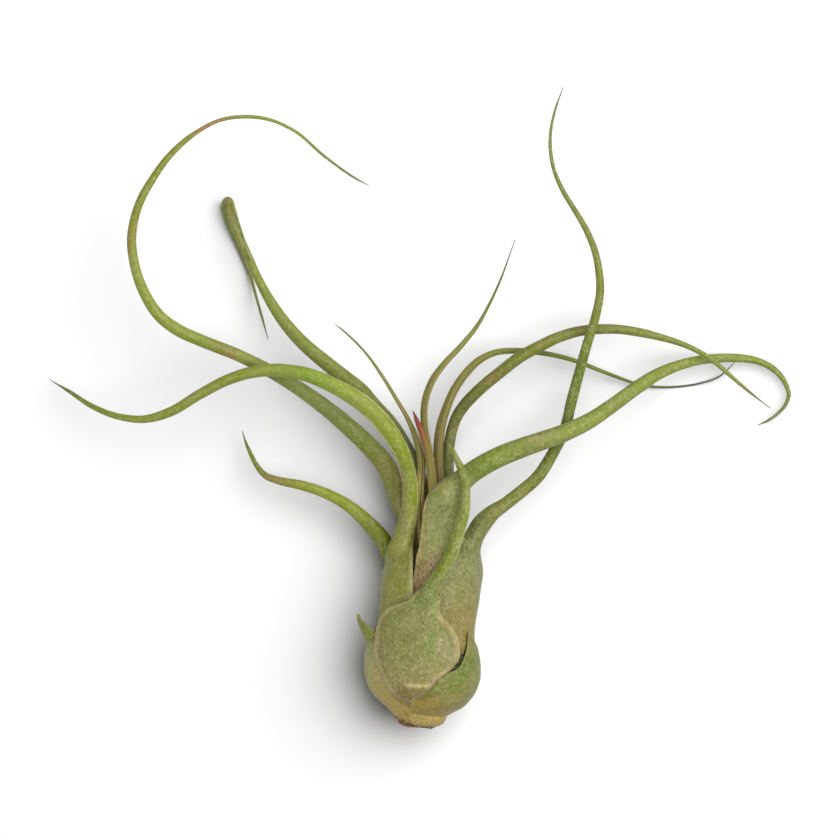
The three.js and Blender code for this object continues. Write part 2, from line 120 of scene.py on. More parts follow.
def wire(tree, kind, sockets, stops=(), **settings):
    """Adds one shader node with its settings and sockets. A ramp also gets its stops, each a
    position and a colour."""
    node = tree.nodes.new("ShaderNode" + kind)
    for setting, value in settings.items():
        setattr(node, setting, value)
    plug(tree, node, sockets)
    for i, (position, colour) in enumerate(stops):
        elements = node.color_ramp.elements
        element = elements[i] if i < 2 else elements.new(position)
        element.position, element.color = position, colour
    return node


def new_finish(name):
    """A new material, its node tree and its surface node."""
    finish = bpy.data.materials.new(name)
    finish.use_nodes = True
    return finish, finish.node_tree, finish.node_tree.nodes["Principled BSDF"]


def add_skin(name, rings, stands_for, finish, marks=(), islands=()):
    """A closed piece through rings of equally many points, as an array of ring, point and xyz
    in millimetres. Each ring is joined to the next by quads, and both ends are closed by a
    strip of quads that pairs the first half of the ring with its second half. `islands` holds
    further such arrays, which make closed bodies of the same piece. `marks` are attributes of
    its points: each a name with its kind, the key that sets it, and its values."""
    points, faces, start = [], [], 0
    for body in [rings, *islands]:
        count, size, _ = body.shape
        ring = start + np.arange(count - 1)[:, None] * size
        here = np.arange(size)
        after = (here + 1) % size
        walls = np.stack([ring + here, ring + after, ring + size + after, ring + size + here], -1)
        k = np.arange(size // 2 - 1)
        first = start + np.stack([k, size - 1 - k, size - 2 - k, k + 1], -1)
        last = first[:, ::-1] + (count - 1) * size
        faces += [walls.reshape(-1, 4), first, last]
        points.append(body.reshape(-1, 3))
        start += count * size
    mesh = bpy.data.meshes.new(name)
    mesh.from_pydata((np.concatenate(points) * MM).tolist(), [], np.concatenate(faces).tolist())
    mesh.shade_smooth()
    for mark, (kind, key, values) in dict(marks).items():
        attribute = mesh.attributes.new(mark, kind, "POINT")
        attribute.data.foreach_set(key, np.ascontiguousarray(values, np.float32).ravel())
    piece = bpy.data.objects.new(name, mesh)
    bpy.context.scene.collection.objects.link(piece)
    mesh.materials.append(finish)
    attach(piece, "root")
    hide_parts(stands_for)


def wood_finish():
    """Fibrous stem tissue: ochre, with darker fibres that run along it and a dull surface."""
    finish, tree, surface = new_finish("fibrous_stem")
    place = wire(tree, "TexCoord", {}).outputs["Object"]
    # Fibres are ten times as long as they are wide.
    fibres = wire(tree, "Mapping", {"Vector": place, "Scale": (1, 0.1, 1)})
    grain = wire(tree, "TexNoise", {
        "Vector": fibres, "Scale": 1 / (FIBRE_SPACING * MM), "Detail": 3, "Roughness": 0.6})
    zones = wire(tree, "TexNoise", {"Vector": place, "Scale": 1 / (ZONE_SIZE * MM), "Detail": 2})
    tone = wire(tree, "ValToRGB", {0: zones}, stops=[
        (0.35, linear("#7e7640")), (0.5, linear("#8a7c40")), (0.68, linear("#927e4e"))])
    dark = wire(tree, "ValToRGB", {0: grain}, stops=[
        (0.3, linear("#b9a07a")), (0.62, linear("#ffffff"))])
    shade = wire(tree, "Mix", {0: 0.8, 6: tone, 7: dark}, data_type="RGBA", blend_type="MULTIPLY")
    bump = wire(tree, "Bump", {"Height": grain, "Strength": 0.5, "Distance": 0.08 * MM})
    plug(tree, surface, {"Base Color": shade.outputs[2], "Normal": bump, "Roughness": 0.62,
                         "Specular IOR Level": 0.35})
    return finish


def stem_point(height, azimuth, radius):
    """A point at a height along the stem's middle line, which leans to the right at its lower
    end, and at a radius from that line."""
    middle = AXIS_FOOT + height[..., None] * AXIS
    lean = END_LEAN * soft_step(STRAIGHT_FROM, 0, height)[..., None]
    return middle + lean * facing(90, AXIS) + radius[..., None] * facing(azimuth, AXIS)


def stem_rings():
    """A turned shape about the stem's middle line. Its radius follows STEM, rises and falls by
    SCAR_DEPTH with each leaf scar, and swells a little on five sides, which wind slowly up."""
    height = np.linspace(STEM[0, 0], STEM[-1, 0], STEM_RINGS)[:, None]
    angle = np.arange(STEM_FACETS)[None, :] * 360 / STEM_FACETS
    radius = np.interp(height, STEM[:, 0], STEM[:, 1])
    tilt = SCAR_TILT * np.sin(np.radians(angle * 2))
    scars = SCAR_DEPTH * np.cos(2 * np.pi * (height + tilt) / SCAR_SPACING)
    lobes = LOBE_HEIGHT * np.sin(np.radians(5 * angle + 20 * height))
    radius = radius - SCAR_DEPTH + scars + lobes
    return stem_point(height + 0 * angle, -angle, radius)


add_skin("fibrous_stem", stem_rings(), "stem_base", wood_finish())

# ---- Dry roots -------------------------------------------------------------------------------
# What is left of the roots: a ragged plate of old root stock under the stem, with short broken
# stubs and fibres that cling to the stem's left flank. They are dead and dry, dark brown inside
# and paler, pinkish brown at their torn rims. They are grown onto the foot of the stem.

PLATE_RADIUS = 4.1
PLATE_LOW, PLATE_HIGH = -1.75, -1.15
PLATE_FACETS = 72
# Depth of the swings of the plate's torn rim, how many go round it, and their phase.
PLATE_TEARS = [(0.22, 7, 0), (0.16, 17, 40)]
ROOT_LEAN = -1.2  # how far to the left the plate lies of the stem's middle
# Azimuth, length, width where it leaves the plate and share of its length that it climbs.
ROOT_STUBS = [
    (-118, 2.4, 1.0, 0.7), (-102, 3.2, 1.1, 0.75), (-88, 3.6, 1.2, 0.8), (-74, 3.4, 1.1, 0.8),
    (-58, 2.8, 1.1, 0.75), (-42, 1.6, 0.9, 0.6), (-22, 0.9, 0.7, 0.3), (10, 0.8, 0.7, 0.1),
    (38, 0.8, 0.7, 0.1), (120, 1.2, 1.0, 0.3), (160, 1.8, 1.1, 0.3), (-150, 2.0, 1.1, 0.5),
]
ROOT_INSET = 0.7  # how deep in the plate a stub starts
ROOT_REACH = 0.4  # how much further out it goes than its length and climb say
TORN_TIP = 0.2  # width of a stub's tip, as a share of the stub's
ROOT_SWAY = 7  # degrees that a stub wanders sideways
FIBRES = 46  # finer than the stubs, and between them
FIBRE_AZIMUTH = (-85, 35)  # mean and spread
FIBRE_LENGTH, FIBRE_WIDTH, FIBRE_CLIMB = (1.2, 3.4), (0.18, 0.45), (0.5, 0.85)
ROOT_SEED = 7
ROOT_ROW = 12  # rings along a stub
STUB_FACETS, FIBRE_FACETS = 12, 8
TEAR_SIZE = 0.8  # of the pattern of torn tissue


def root_finish():
    """Dead root: dark brown with torn, pale pinkish fibres, dull and rough."""
    finish, tree, surface = new_finish("dry_root")
    place = wire(tree, "TexCoord", {}).outputs["Object"]
    torn = wire(tree, "TexNoise", {"Vector": place, "Scale": 1 / (TEAR_SIZE * MM), "Detail": 4})
    tone = wire(tree, "ValToRGB", {0: torn}, stops=[
        (0.4, linear("#2e190c")), (0.52, linear("#583820")), (0.68, linear("#b09070"))])
    bump = wire(tree, "Bump", {"Height": torn, "Strength": 0.8, "Distance": 0.2 * MM})
    plug(tree, surface, {"Base Color": tone, "Normal": bump, "Roughness": 0.85})
    return finish


def root_rings(azimuth, length, width, climb, facets):
    """A stub or fibre: it leaves the plate's rim, runs outwards and climbs, stays clear of the
    stem's flank by a third of its width, wanders a little sideways with a sine, and narrows to
    a torn tip, while its width swings a little with a faster sine."""
    share = np.linspace(0, 1, ROOT_ROW)
    height = (PLATE_LOW + PLATE_HIGH) / 2 + climb * length * share
    out = PLATE_RADIUS - ROOT_INSET + (length + ROOT_REACH) * np.sqrt(1 - climb ** 2) * share
    flank = np.interp(height, STEM[:, 0], STEM[:, 1]) + width / 3
    around = azimuth + ROOT_SWAY * share * np.sin(4 * share + azimuth)
    path = stem_point(height, around, np.where(height > STEM[0, 0], np.maximum(out, flank), out))
    run = unit(np.gradient(path, axis=0))
    side = unit(np.cross(run, facing(around, AXIS)))
    other = np.cross(run, side)
    angle = np.arange(facets) * 2 * np.pi / facets
    taper = 1 - (1 - TORN_TIP) * share ** 1.5
    radius = width / 2 * taper * (1 + 0.15 * np.sin(9 * share + azimuth))
    section = (np.cos(angle)[:, None] * side[:, None] + np.sin(angle)[:, None] * other[:, None])
    return path[:, None] + radius[:, None, None] * section


def plate_rings():
    """A flat turned plate whose rim swings in and out in a ragged line, as a sum of sines."""
    angle = np.arange(PLATE_FACETS) * 360 / PLATE_FACETS
    ragged = sum(depth * np.sin(np.radians(swings * angle + phase))
                 for depth, swings, phase in PLATE_TEARS)
    profile = np.array([
        [PLATE_LOW + 0.1, 2.2], [PLATE_LOW, 3.0], [PLATE_LOW + 0.15, 3.7],
        [PLATE_LOW + 0.3, PLATE_RADIUS], [PLATE_HIGH - 0.1, PLATE_RADIUS + 0.1],
        [PLATE_HIGH, PLATE_RADIUS - 0.2],
    ])
    radius = profile[:, 1:] + ragged * (profile[:, 1:] / PLATE_RADIUS) ** 3
    return stem_point(profile[:, :1] + 0 * angle, -angle, radius) + ROOT_LEAN * facing(90, AXIS)


draw = np.random.default_rng(ROOT_SEED)
roots = [root_rings(*stub, facets=STUB_FACETS) for stub in ROOT_STUBS]
for _ in range(FIBRES):
    roots.append(root_rings(
        azimuth=draw.normal(*FIBRE_AZIMUTH), length=draw.uniform(*FIBRE_LENGTH),
        width=draw.uniform(*FIBRE_WIDTH), climb=draw.uniform(*FIBRE_CLIMB), facets=FIBRE_FACETS))
add_skin("dry_roots", plate_rings(), "dry_roots", root_finish(), islands=roots)

# ---- Front leaf ------------------------------------------------------------------------------
# The front leaf is the outermost one: a round, shield-shaped sheath that narrows to a short slim
# blade. A leaf is one piece of living tissue, grey green where its fine scales are whole, bright
# green where they are worn off, and papery and pinkish tan at the sheath's thin margins. Its
# base is tucked between the two short sheaths, on the stem.

THICKNESS = 0.8
LEAST_BORE = 0.2  # radius of the hollow in a thin rolled blade, as a share of the blade's
LAYER_PITCH = 1.75  # from one sheath layer to the next
SEAT_GAP = 0.4  # between a sheath's foot and the stem
SEAT_STEP = 0.1  # of the search for the height of a sheath's foot
SLOPE_SPAN = 3  # stretch of the bulb's profile over which its slope is measured
PRESSED_RADIUS = 8  # sheaths wider than this lie pressed flat on the surface
ROLLED = 174  # half of the angle that a rolled blade closes round, in degrees
POINTED = 0.24  # width of a leaf's tip
ROW_STEP = 0.9  # from one ring of a leaf to the next, where its detail is 1
LEAF_RING = 64  # points round a leaf's section, where its detail is 1
MARGIN_THINNING = 0.5
SWELL = 0.13  # of the bulb's surface
SWELLING_RADII = (4, 10)  # a leaf with the first radius has no swells, one with the last has all
OPEN_RADII = (0.4, 1.2)  # a blade with the first radius is rolled up and shows no rim
BLADE_RADII = (8, 4)  # a rim has its first colour at one radius and its blade colour at the other
RIM_SHARE = 0.4  # the most of a leaf's half width that its rim takes
RIM_CORE = 0.45  # share of the rim's width that has its full colour
EDGE_LINE_FADE = (2.5, 4)  # half widths, in distances of the line, between which it appears
LINING = "#98a052"  # a leaf's inner face
LINING_STRENGTH = 0.6
TONE_STEP = 0.001  # least length from one tone to the next
PATCH_CORE = 0.3  # share of a patch's reach that has its full strength
EDGE_SWING = 0.2  # of a patch's outline, as a share of its reach

# Height along the axis and radius of the bulb's sheath layer 0. The front leaf and the short
# sheaths lie outside it, on layers with negative numbers.
BULB = np.array([
    [0, 5.0], [3, 7.5], [5, 9.9], [7.5, 12.5], [10, 14.3], [14, 15.5], [20, 15.7], [26, 15.2],
    [36, 15.1], [45, 14.8], [50, 14.1], [55, 12.8], [60, 11.2], [66, 10.5],
])
# The light is bright enough to bleach the surface, and the surface's sheen adds white to it, so
# a colour read off the lit plant is lighter than the tissue itself by these factors.
BRIGHTENED = np.array([2.66, 2.78, 4.5])
# Noises over a leaf: from crest to crest across it and along it, detail, roughness, distortion.
LEAF_NOISES = [
    (2.2, 4, 4, 0.65, 0),  # zones where the scales are worn off, and dry zones
    (1, 1.2, 3, 0.65, 0),  # the grain of the scales
    (3, 3.6, 2, 0.5, 0),  # patches with pale marks
    (1.2, 1.4, 2, 0.5, 1.2),  # winding lines
    (0.45, 30, 1, 0.5, 0),  # veins, which wander slowly along the leaf
]
PORE_SPACING = 2.5


def tissue(colour):
    """The tissue's own colour, with an alpha of 1, for a colour read off the lit plant."""
    return (*(np.array(linear(colour)[:3]) / BRIGHTENED).tolist(), 1.0)


def layer_radius(height, layer):
    """Radius of a sheath's outer face. A layer further in is smaller by the pitch, which counts
    for more where the bulb is steep."""
    ends = [height - SLOPE_SPAN / 2, height + SLOPE_SPAN / 2]
    slope = np.interp(ends, BULB[:, 0], BULB[:, 1]) @ [-1, 1] / SLOPE_SPAN
    slant = np.hypot(1, slope)
    return np.interp(height, BULB[:, 0], BULB[:, 1]) - layer * LAYER_PITCH * slant, slant


def foot_height(layer):
    """The height where a layer's inner face has come clear of the stem."""
    for height in np.arange(1, STEM[-1, 0], SEAT_STEP):
        radius, slant = layer_radius(height, layer)
        if radius - THICKNESS * slant - SEAT_GAP > np.interp(height, STEM[:, 0], STEM[:, 1]):
            return height
    return STEM[-1, 0]


def leaf_rows(layer, sheath, blade, turn):
    """One row for each place given along a leaf: middle of its back, direction that the back
    faces, direction that its section is square to, radius, half-angle and thickness. A place on
    the sheath is given by its height along the axis, azimuth, half-angle and, where that isn't
    the leaf's own, its layer. A place on the blade is given by x, y and z, its width and, where
    it isn't rolled up or turns its back on purpose, its half-angle and azimuth. A blade's back
    turns evenly from one given azimuth to the next, and to `turn` at its tip."""
    rows = []
    foot = foot_height(sheath[0][3] if len(sheath[0]) > 3 else layer)
    for height, azimuth, half, *own_layer in sheath:
        at = foot if height == 0 else height
        radius, slant = layer_radius(at, own_layer[0] if own_layer else layer)
        back = facing(azimuth, AXIS)
        rows.append([*(AXIS_FOOT + at * AXIS + radius * back), *back, *AXIS, radius, half,
                     THICKNESS * slant])
    centres = np.array([row[:3] for row in blade], float).reshape(-1, 3)
    last, azimuth_there = -1, sheath[-1][1]
    for i, given in enumerate(blade):
        width, half, azimuth = (*given[3:], *(POINTED, ROLLED, None)[len(given) - 3:])
        along = unit(centres[min(i + 1, len(blade) - 1)] - centres[max(i - 1, 0)])
        if i == 0:
            along = unit(along + AXIS)
        if azimuth is None:
            share = (i - last) / (len(blade) - 1 - last)
            azimuth = azimuth_there * (1 - share) + turn * share
        else:
            last, azimuth_there = i, azimuth
        back = facing(azimuth, along)
        rows.append([*(centres[i] + width / 2 * back), *back, *along, width / 2, half,
                     THICKNESS])
    return np.array(rows)


def smooth(rows, step, even=()):
    """Rows joined by smooth curves, with a new row about every `step`. Between two rows every
    number follows a cubic whose slope at a row is the mean of the slopes on its two sides,
    weighed by their lengths. The columns in `even` never overshoot a row: their slope there is
    the harmonic mean, or 0 at a peak. Returns the rows and the length along the leaf at each."""
    gaps = np.linalg.norm(np.diff(rows[:, :3], axis=0), axis=1)
    rises = np.diff(rows, axis=0) / gaps[:, None]
    before, after = gaps[:-1, None], gaps[1:, None]
    inner = (rises[:-1] * after + rises[1:] * before) / (before + after)
    product, total = rises[:-1] * rises[1:], rises[:-1] + rises[1:]
    harmonic = np.where(product > 0, 2 * product / np.where(product > 0, total, 1), 0)
    for column in even:
        inner[:, column] = harmonic[:, column]
    slopes = np.concatenate([rises[:1], inner, rises[-1:]])
    counts = np.maximum(1, np.round(gaps / step)).astype(int)
    piece = np.repeat(np.arange(len(gaps)), counts)
    t = (np.arange(len(piece)) - np.repeat(np.cumsum(counts) - counts, counts)) / counts[piece]
    t, h = t[:, None], gaps[piece][:, None]
    dense = (
        rows[piece] * (1 - 3 * t ** 2 + 2 * t ** 3) + rows[piece + 1] * (3 * t ** 2 - 2 * t ** 3)
        + slopes[piece] * h * t * (1 - t) ** 2 - slopes[piece + 1] * h * t ** 2 * (1 - t))
    dense = np.concatenate([dense, rows[-1:]])
    steps = np.linalg.norm(np.diff(dense[:, :3], axis=0), axis=1)
    return dense, np.concatenate([[0], np.cumsum(steps)])


def blend(base, colour, share):
    """base mixed with a colour by a share from 0 to 1 at each point."""
    return base + (np.asarray(colour)[..., :3] - base) * share[..., None]


def tone_along(places, at, colours):
    """The tone at places, which changes evenly between the colours given at some of them."""
    hues = np.array([linear(colour)[:3] for colour in colours])
    return np.stack([np.interp(places, at, hue) for hue in hues.T], -1)


def tissue_marks(tone, *place):
    """The marks that leaf_finish reads: the tissue's own colour where the lit one is `tone`, and
    the place across, along and through the leaf, in millimetres."""
    own = np.concatenate([tone / BRIGHTENED, np.ones((*tone.shape[:2], 1))], -1)
    place = np.stack([np.broadcast_to(part, tone.shape[:2]) for part in place], -1)
    return {"tone": ("FLOAT_COLOR", "color", own), "place": ("FLOAT_VECTOR", "vector", place)}


def bulb_ripple(points):
    """Slow swells of the bulb's surface, about 12 mm from crest to crest, alike in every layer:
    the mean of two sines that run in different directions."""
    x, y, z = points[..., 0], points[..., 1], points[..., 2]
    return 0.5 * (np.sin(0.52 * x + 0.31 * y + 1.0) + np.sin(0.43 * z - 0.37 * y + 0.6 * x))


def away_from(line, points):
    """Distance, seen from above, between points and the nearest of a line's stretches. It swings
    by a share in waves about 2 mm long, so that what follows it has a soft uneven edge."""
    line = np.array(line, float)
    nearest = np.full(points.shape[:-1], np.inf)
    for start, end in zip(line[:-1], line[1:]):
        way = end - start
        share = np.clip((points[..., :2] - start) @ way / (way @ way), 0, 1)
        offset = points[..., :2] - start - share[..., None] * way
        nearest = np.minimum(nearest, np.linalg.norm(offset, axis=-1))
    x, y = points[..., 0], points[..., 1]
    swing = np.sin(2.9 * x + 1.7 * y) * np.sin(2.3 * y - 1.3 * x)
    return nearest * (1 + EDGE_SWING * swing)


def leaf(name, stands_for, finish, layer, sheath, blade, turn, tones, margin, patches=(),
         edge_line=None, relief=None, detail=1):
    """One leaf as a closed skin. Its section is a lens-shaped strip bent round an arc: a point's
    place across the leaf follows minus the cosine of its angle round the ring, and its place
    through the leaf the square root of the sine, so that the faces are even and the margins
    round and thin. Nothing of it reaches below the surface that the plant lies on.
    tones are colours at places along the leaf, each an x and y or the number of a blade row.
    margin is the rim's colour, width and strength and its colour where the leaf is a slim blade;
    a rim takes at most RIM_SHARE of the half width, and a thin rolled-up blade shows none.
    edge_line is a thin line's colour, distance from the margin, width and strength, and fades on
    a slim blade. patches are lines with their reach, colour and strength, and
    relief(points, across) is how far the leaf stands out."""
    rows = leaf_rows(layer, sheath, blade, turn)
    # A radius and the width of the strip change by equal shares along a stretch of leaf.
    rows[:, 10] = np.log(np.radians(rows[:, 10]) * rows[:, 9])
    rows[:, 9] = np.log(rows[:, 9])
    rows, along = smooth(rows, ROW_STEP / detail, even=(9, 10, 11))
    middle, back, run = rows[:, 0:3], rows[:, 3:6], unit(rows[:, 6:9])
    radius, thickness = np.exp(rows[:, 9:10]), rows[:, 11:12]
    arc = np.exp(rows[:, 10:11])  # from the leaf's middle to its margin
    back = unit(back - run * (back * run).sum(-1, keepdims=True))
    side = np.cross(run, back)
    centre = middle - radius * back
    thickness = np.minimum(thickness, (1 - LEAST_BORE) * radius)
    count = 2 * round(LEAF_RING * detail / 2)
    ring = (np.arange(count) + 0.5) * 2 * np.pi / count
    across = np.broadcast_to(-np.cos(ring), (len(rows), count))
    through = np.sign(np.sin(ring)) * np.abs(np.sin(ring)) ** 0.5
    lift = thickness / 2 * through * (1 - MARGIN_THINNING * across ** 4)
    angle = arc / radius * across
    spoke = np.cos(angle)[..., None] * back[:, None] + np.sin(angle)[..., None] * side[:, None]
    from_centre = radius - thickness / 2 + lift
    points = centre[:, None] + from_centre[..., None] * spoke
    swell = SWELL * soft_step(*SWELLING_RADII, radius) * bulb_ripple(points)
    if relief:
        swell = swell + relief(points, across)
    points = points + swell[..., None] * spoke
    floor = np.where(radius > PRESSED_RADIUS, thickness / 2 - lift, 0)
    points[..., 2] = np.maximum(points[..., 2], floor)

    # Each place is looked for beyond the one before it.
    found, last = [], 0
    for *place, _ in tones:
        x_y = place if len(place) == 2 else blade[place[0]][:2]
        last += int(np.argmin(np.hypot(*(centre[last:, :2] - x_y).T)))
        found.append(along[last])
    order = np.maximum.accumulate(np.array(found) + np.arange(len(found)) * TONE_STEP)
    tone = tone_along(along, order, [colour for *_, colour in tones])
    tone = np.repeat(tone[:, None], count, 1)
    inside = soft_step(0.1, -0.3, np.broadcast_to(through, across.shape))
    tone = blend(tone, linear(LINING), inside * LINING_STRENGTH)
    to_margin = (1 - np.abs(across)) * arc
    open_here = soft_step(*OPEN_RADII, radius)
    rim_colour, rim_width, rim_strength, *blade_rim = margin
    rim_width = np.minimum(rim_width, RIM_SHARE * arc)
    rim = soft_step(1, RIM_CORE, to_margin / rim_width) * open_here
    rim_hue = np.broadcast_to(linear(rim_colour)[:3], tone.shape)
    if blade_rim:
        slim = soft_step(*BLADE_RADII, radius) + 0 * across
        rim_hue = blend(rim_hue, linear(blade_rim[0]), slim)
    tone = blend(tone, rim_hue, rim_strength * rim)
    if edge_line:
        line_colour, distance, width, strength = edge_line
        line = np.exp(-((to_margin - distance) / width) ** 2)
        line = line * soft_step(*EDGE_LINE_FADE, arc / distance)
        tone = blend(tone, linear(line_colour), strength * line)
    for line, reach, colour, strength in patches:
        near = soft_step(reach, PATCH_CORE * reach, away_from(line, points))
        tone = blend(tone, linear(colour), strength * near)
    marks = tissue_marks(tone, across * arc, along[:, None], through)
    add_skin(name, points, stands_for, finish, marks)


def leaf_finish(name, worn, scales, specks, dots, vein, dull):
    """Living leaf tissue under a coat of fine scales, which makes it dull and grey green. Where
    the scales are worn off the tissue's own stronger green shows, and where they crowd they make
    pale specks and short winding lines, drawn a few tenths of a millimetre wide to show. A few
    pores are dark dots, and veins run along the leaf. The surface is satin, with little sheen."""
    finish, tree, surface = new_finish(name)
    tone = wire(tree, "Attribute", {}, attribute_name="tone").outputs["Color"]
    place = wire(tree, "Attribute", {}, attribute_name="place").outputs["Vector"]
    zones, grains, crowds, bends, veins = [
        wire(tree, "TexNoise", {
            "Vector": wire(tree, "Mapping", {"Vector": place, "Scale": (1 / wide, 1 / high, 1)}),
            "Scale": 1, "Detail": detail, "Roughness": rough, "Distortion": twist})
        for wide, high, detail, rough, twist in LEAF_NOISES]
    # Worn zones are greener, and dry ones greyer.
    bare = wire(tree, "MapRange", {0: zones, 1: 0.5, 2: 0.68, 3: 0, 4: worn})
    green = wire(tree, "Mix", {0: bare, 6: tone, 7: linear("#d8dc70")}, data_type="RGBA",
                 blend_type="MULTIPLY").outputs[2]
    dry = wire(tree, "MapRange", {0: zones, 1: 0.46, 2: 0.3, 3: 0, 4: scales})
    dried = wire(tree, "Mix", {0: dry, 6: green, 7: tissue("#b0a68e")}, data_type="RGBA")
    # The grain of the scales lightens and darkens the tissue.
    coat = wire(tree, "MapRange", {0: grains, 1: 0.35, 2: 0.65, 3: 1 - scales, 4: 1 + scales})
    grained = wire(tree, "VectorMath", {0: dried.outputs[2], "Scale": coat}, operation="SCALE")
    # Pale marks: winding lines, where a noise crosses its middle value, and the brightest grains.
    crowded = wire(tree, "MapRange", {0: crowds, 1: 0.36, 2: 0.58, 3: 0.3, 4: 1})
    off = wire(tree, "Math", {0: bends, 1: 0.5}, operation="SUBTRACT")
    off = wire(tree, "Math", {0: off}, operation="ABSOLUTE")
    lines = wire(tree, "MapRange", {0: off, 1: 0.01, 2: 0.06, 3: 1, 4: 0})
    tips = wire(tree, "MapRange", {0: grains, 1: 0.6, 2: 0.68, 3: 0, 4: 1})
    marks = wire(tree, "Math", {0: lines, 1: tips}, operation="MAXIMUM")
    marks = wire(tree, "Math", {0: marks, 1: crowded}, operation="MULTIPLY")
    marks = wire(tree, "Math", {0: marks, 1: specks}, operation="MULTIPLY")
    marked = wire(tree, "Mix", {0: marks, 6: grained, 7: tissue("#d4d6c4")}, data_type="RGBA")
    # Pores are the middles of cells, and about half of them show.
    pore = wire(tree, "TexVoronoi", {"Vector": place, "Scale": 1 / PORE_SPACING, "Randomness": 1})
    seen = wire(tree, "SeparateColor", {0: pore.outputs["Color"]})
    seen = wire(tree, "MapRange", {0: seen, 1: 0.5, 2: 0.6, 3: 0, 4: dots})
    spot = wire(tree, "MapRange", {0: pore.outputs["Distance"], 1: 0.05, 2: 0.11, 3: 1, 4: 0})
    spot = wire(tree, "Math", {0: spot, 1: seen}, operation="MULTIPLY")
    dotted = wire(tree, "Mix", {0: spot, 6: marked.outputs[2], 7: tissue("#5a5a2a")},
                  data_type="RGBA")
    shade = wire(tree, "MapRange", {0: veins, 1: 0.3, 2: 0.7, 3: 1 - vein, 4: 1 + vein})
    colour = wire(tree, "VectorMath", {0: dotted.outputs[2], "Scale": shade}, operation="SCALE")
    height = wire(tree, "Math", {0: grains, 1: veins}, operation="ADD")
    bump = wire(tree, "Bump", {"Height": height, "Strength": 0.35, "Distance": 0.06 * MM})
    plug(tree, surface, {"Base Color": colour, "Normal": bump, "Roughness": dull,
                         "Specular IOR Level": 0.2, "Sheen Weight": 0.08, "Sheen Roughness": 0.3})
    return finish


SHEATH_FINISH = leaf_finish("scaly_sheath", worn=0.7, scales=0.2, specks=0.48, dots=0.6,
                            vein=0.05, dull=0.6)
CREASE_X, CREASE_Y = -2, -9.2  # highest place of the crease, which bows down to both sides
CREASE_BOW = 0.02
CREASE_HEIGHT, CREASE_WIDTH = 0.3, 0.5
CREASE_MIDDLE, CREASE_REACH = -2.2, (6, 3)  # it fades between these distances from its middle
HOLLOW_DEPTH, HOLLOW_WIDTH, HOLLOW_BELOW = 0.15, 1.0, 1.6
FOOT_PRESS = 0.45  # how far the leaf's margins press down at its foot
FOOT_PRESS_Y = (2, -6)  # y where that begins and where it is complete


def front_crease(points, across):
    """A low fold across the foot of the front sheath with a slight hollow below it, both bell
    curves of the distance from a parabola, and margins that press down on the sheaths below
    where the leaf narrows to its foot."""
    x, y = points[..., 0], points[..., 1]
    line = y - CREASE_Y + CREASE_BOW * (x - CREASE_X) ** 2
    reach = soft_step(*CREASE_REACH, np.abs(x - CREASE_MIDDLE))
    fold = CREASE_HEIGHT * np.exp(-(line / CREASE_WIDTH) ** 2)
    hollow = HOLLOW_DEPTH * np.exp(-((line + HOLLOW_BELOW) / HOLLOW_WIDTH) ** 2)
    return reach * (fold - hollow) - FOOT_PRESS * across ** 6 * soft_step(*FOOT_PRESS_Y, y)


leaf(
    "front_leaf", "leaf_front_short", SHEATH_FINISH, layer=-2, turn=-20, detail=2,
    sheath=[
        (4.6, -17, 3, -0.2), (5.9, -18, 7, -0.85), (7.7, -17.5, 14, -1.5), (9.6, -14.5, 20.5),
        (12.4, -15.3, 27), (14.6, -14, 32), (17, -12, 39), (21, -10.5, 44.5), (26.6, -12.5, 43.5),
        (30.6, -16, 36), (33.2, -16, 28), (35, -11, 21), (36.6, -4.5, 15),
    ],
    blade=[
        (1.5, 19.5, 31.8, 6, 80), (5.4, 25.5, 31.7, 5.1, 92), (8.4, 31.5, 30.8, 4.5, 74),
        (10.5, 37.5, 29.8, 4.3, 72), (12, 43.5, 29.3, 4, 74), (12.3, 48, 29.2, 3.4, 86),
        (12, 52.5, 28.7, 3, 120), (11, 55.5, 28.2, 2.6), (9.6, 58.5, 27.6, 2),
        (8.2, 61.5, 27, 1.4), (6.6, 63.9, 26.4),
    ],
    tones=[
        (-1.5, -14.5, "#a08452"), (-1, -11, "#9a8a66"), (-0.6, -7, "#9a9268"), (0, 0, "#949468"),
        (0, 7, "#8f9260"), (1, 13, "#8a9058"), (0, "#7e8846"), (1, "#84904a"), (3, "#88983a"),
        (12, 46, "#8a9a48"), (6, "#869444"), (8, "#8a9448"), (10, "#7f9040"),
    ],
    patches=[
        ([(0.5, 1), (2.4, 6)], 2.2, "#6f8a22", 0.75),
        ([(2.8, 12), (3.6, 18)], 1.9, "#869450", 0.85),
        ([(-2, 12), (0.5, 19)], 3.4, "#70823c", 0.7), ([(-6.5, -3), (-5, 5)], 3.2, "#8a9050", 0.5),
        ([(2, -7.5), (6.5, -8)], 2.6, "#aca28a", 0.6),
        ([(5, 4), (8, -1), (8.6, -5)], 3, "#a0967c", 0.75),
        # Painted highlight: a pale line along the ridge of the crease.
        ([(-5.5, -8.9), (-2.5, -9.3), (0.5, -9.2)], 0.9, "#d4cbb0", 0.9),
        # Painted shade: a darker band in the hollow below the crease.
        ([(-7.5, -9.8), (-2, -11.4), (4, -9.8)], 1.8, "#93804f", 0.7),
        ([(-5.5, 9), (-2, 13)], 2.6, "#a0a078", 0.6),
        ([(4.3, 25), (6.3, 28.5), (7.6, 32)], 2.1, "#7c8c10", 0.95),
        ([(8.6, 33), (10, 37)], 1.7, "#84922c", 0.6),
    ],
    margin=("#c0b29e", 2.9, 0.85, "#d6d8b8"), edge_line=("#866c50", 2.9, 0.35, 0.6),
    relief=front_crease)

# ---- Two short sheaths -----------------------------------------------------------------------
# The lowest leaves on the bulb, one on each side of the front leaf. Each is a broad sheath that
# ends early: the left one in a small sharp point, the right one in a rounded lobe. They clasp
# the stem and each other, and yellow towards the foot.

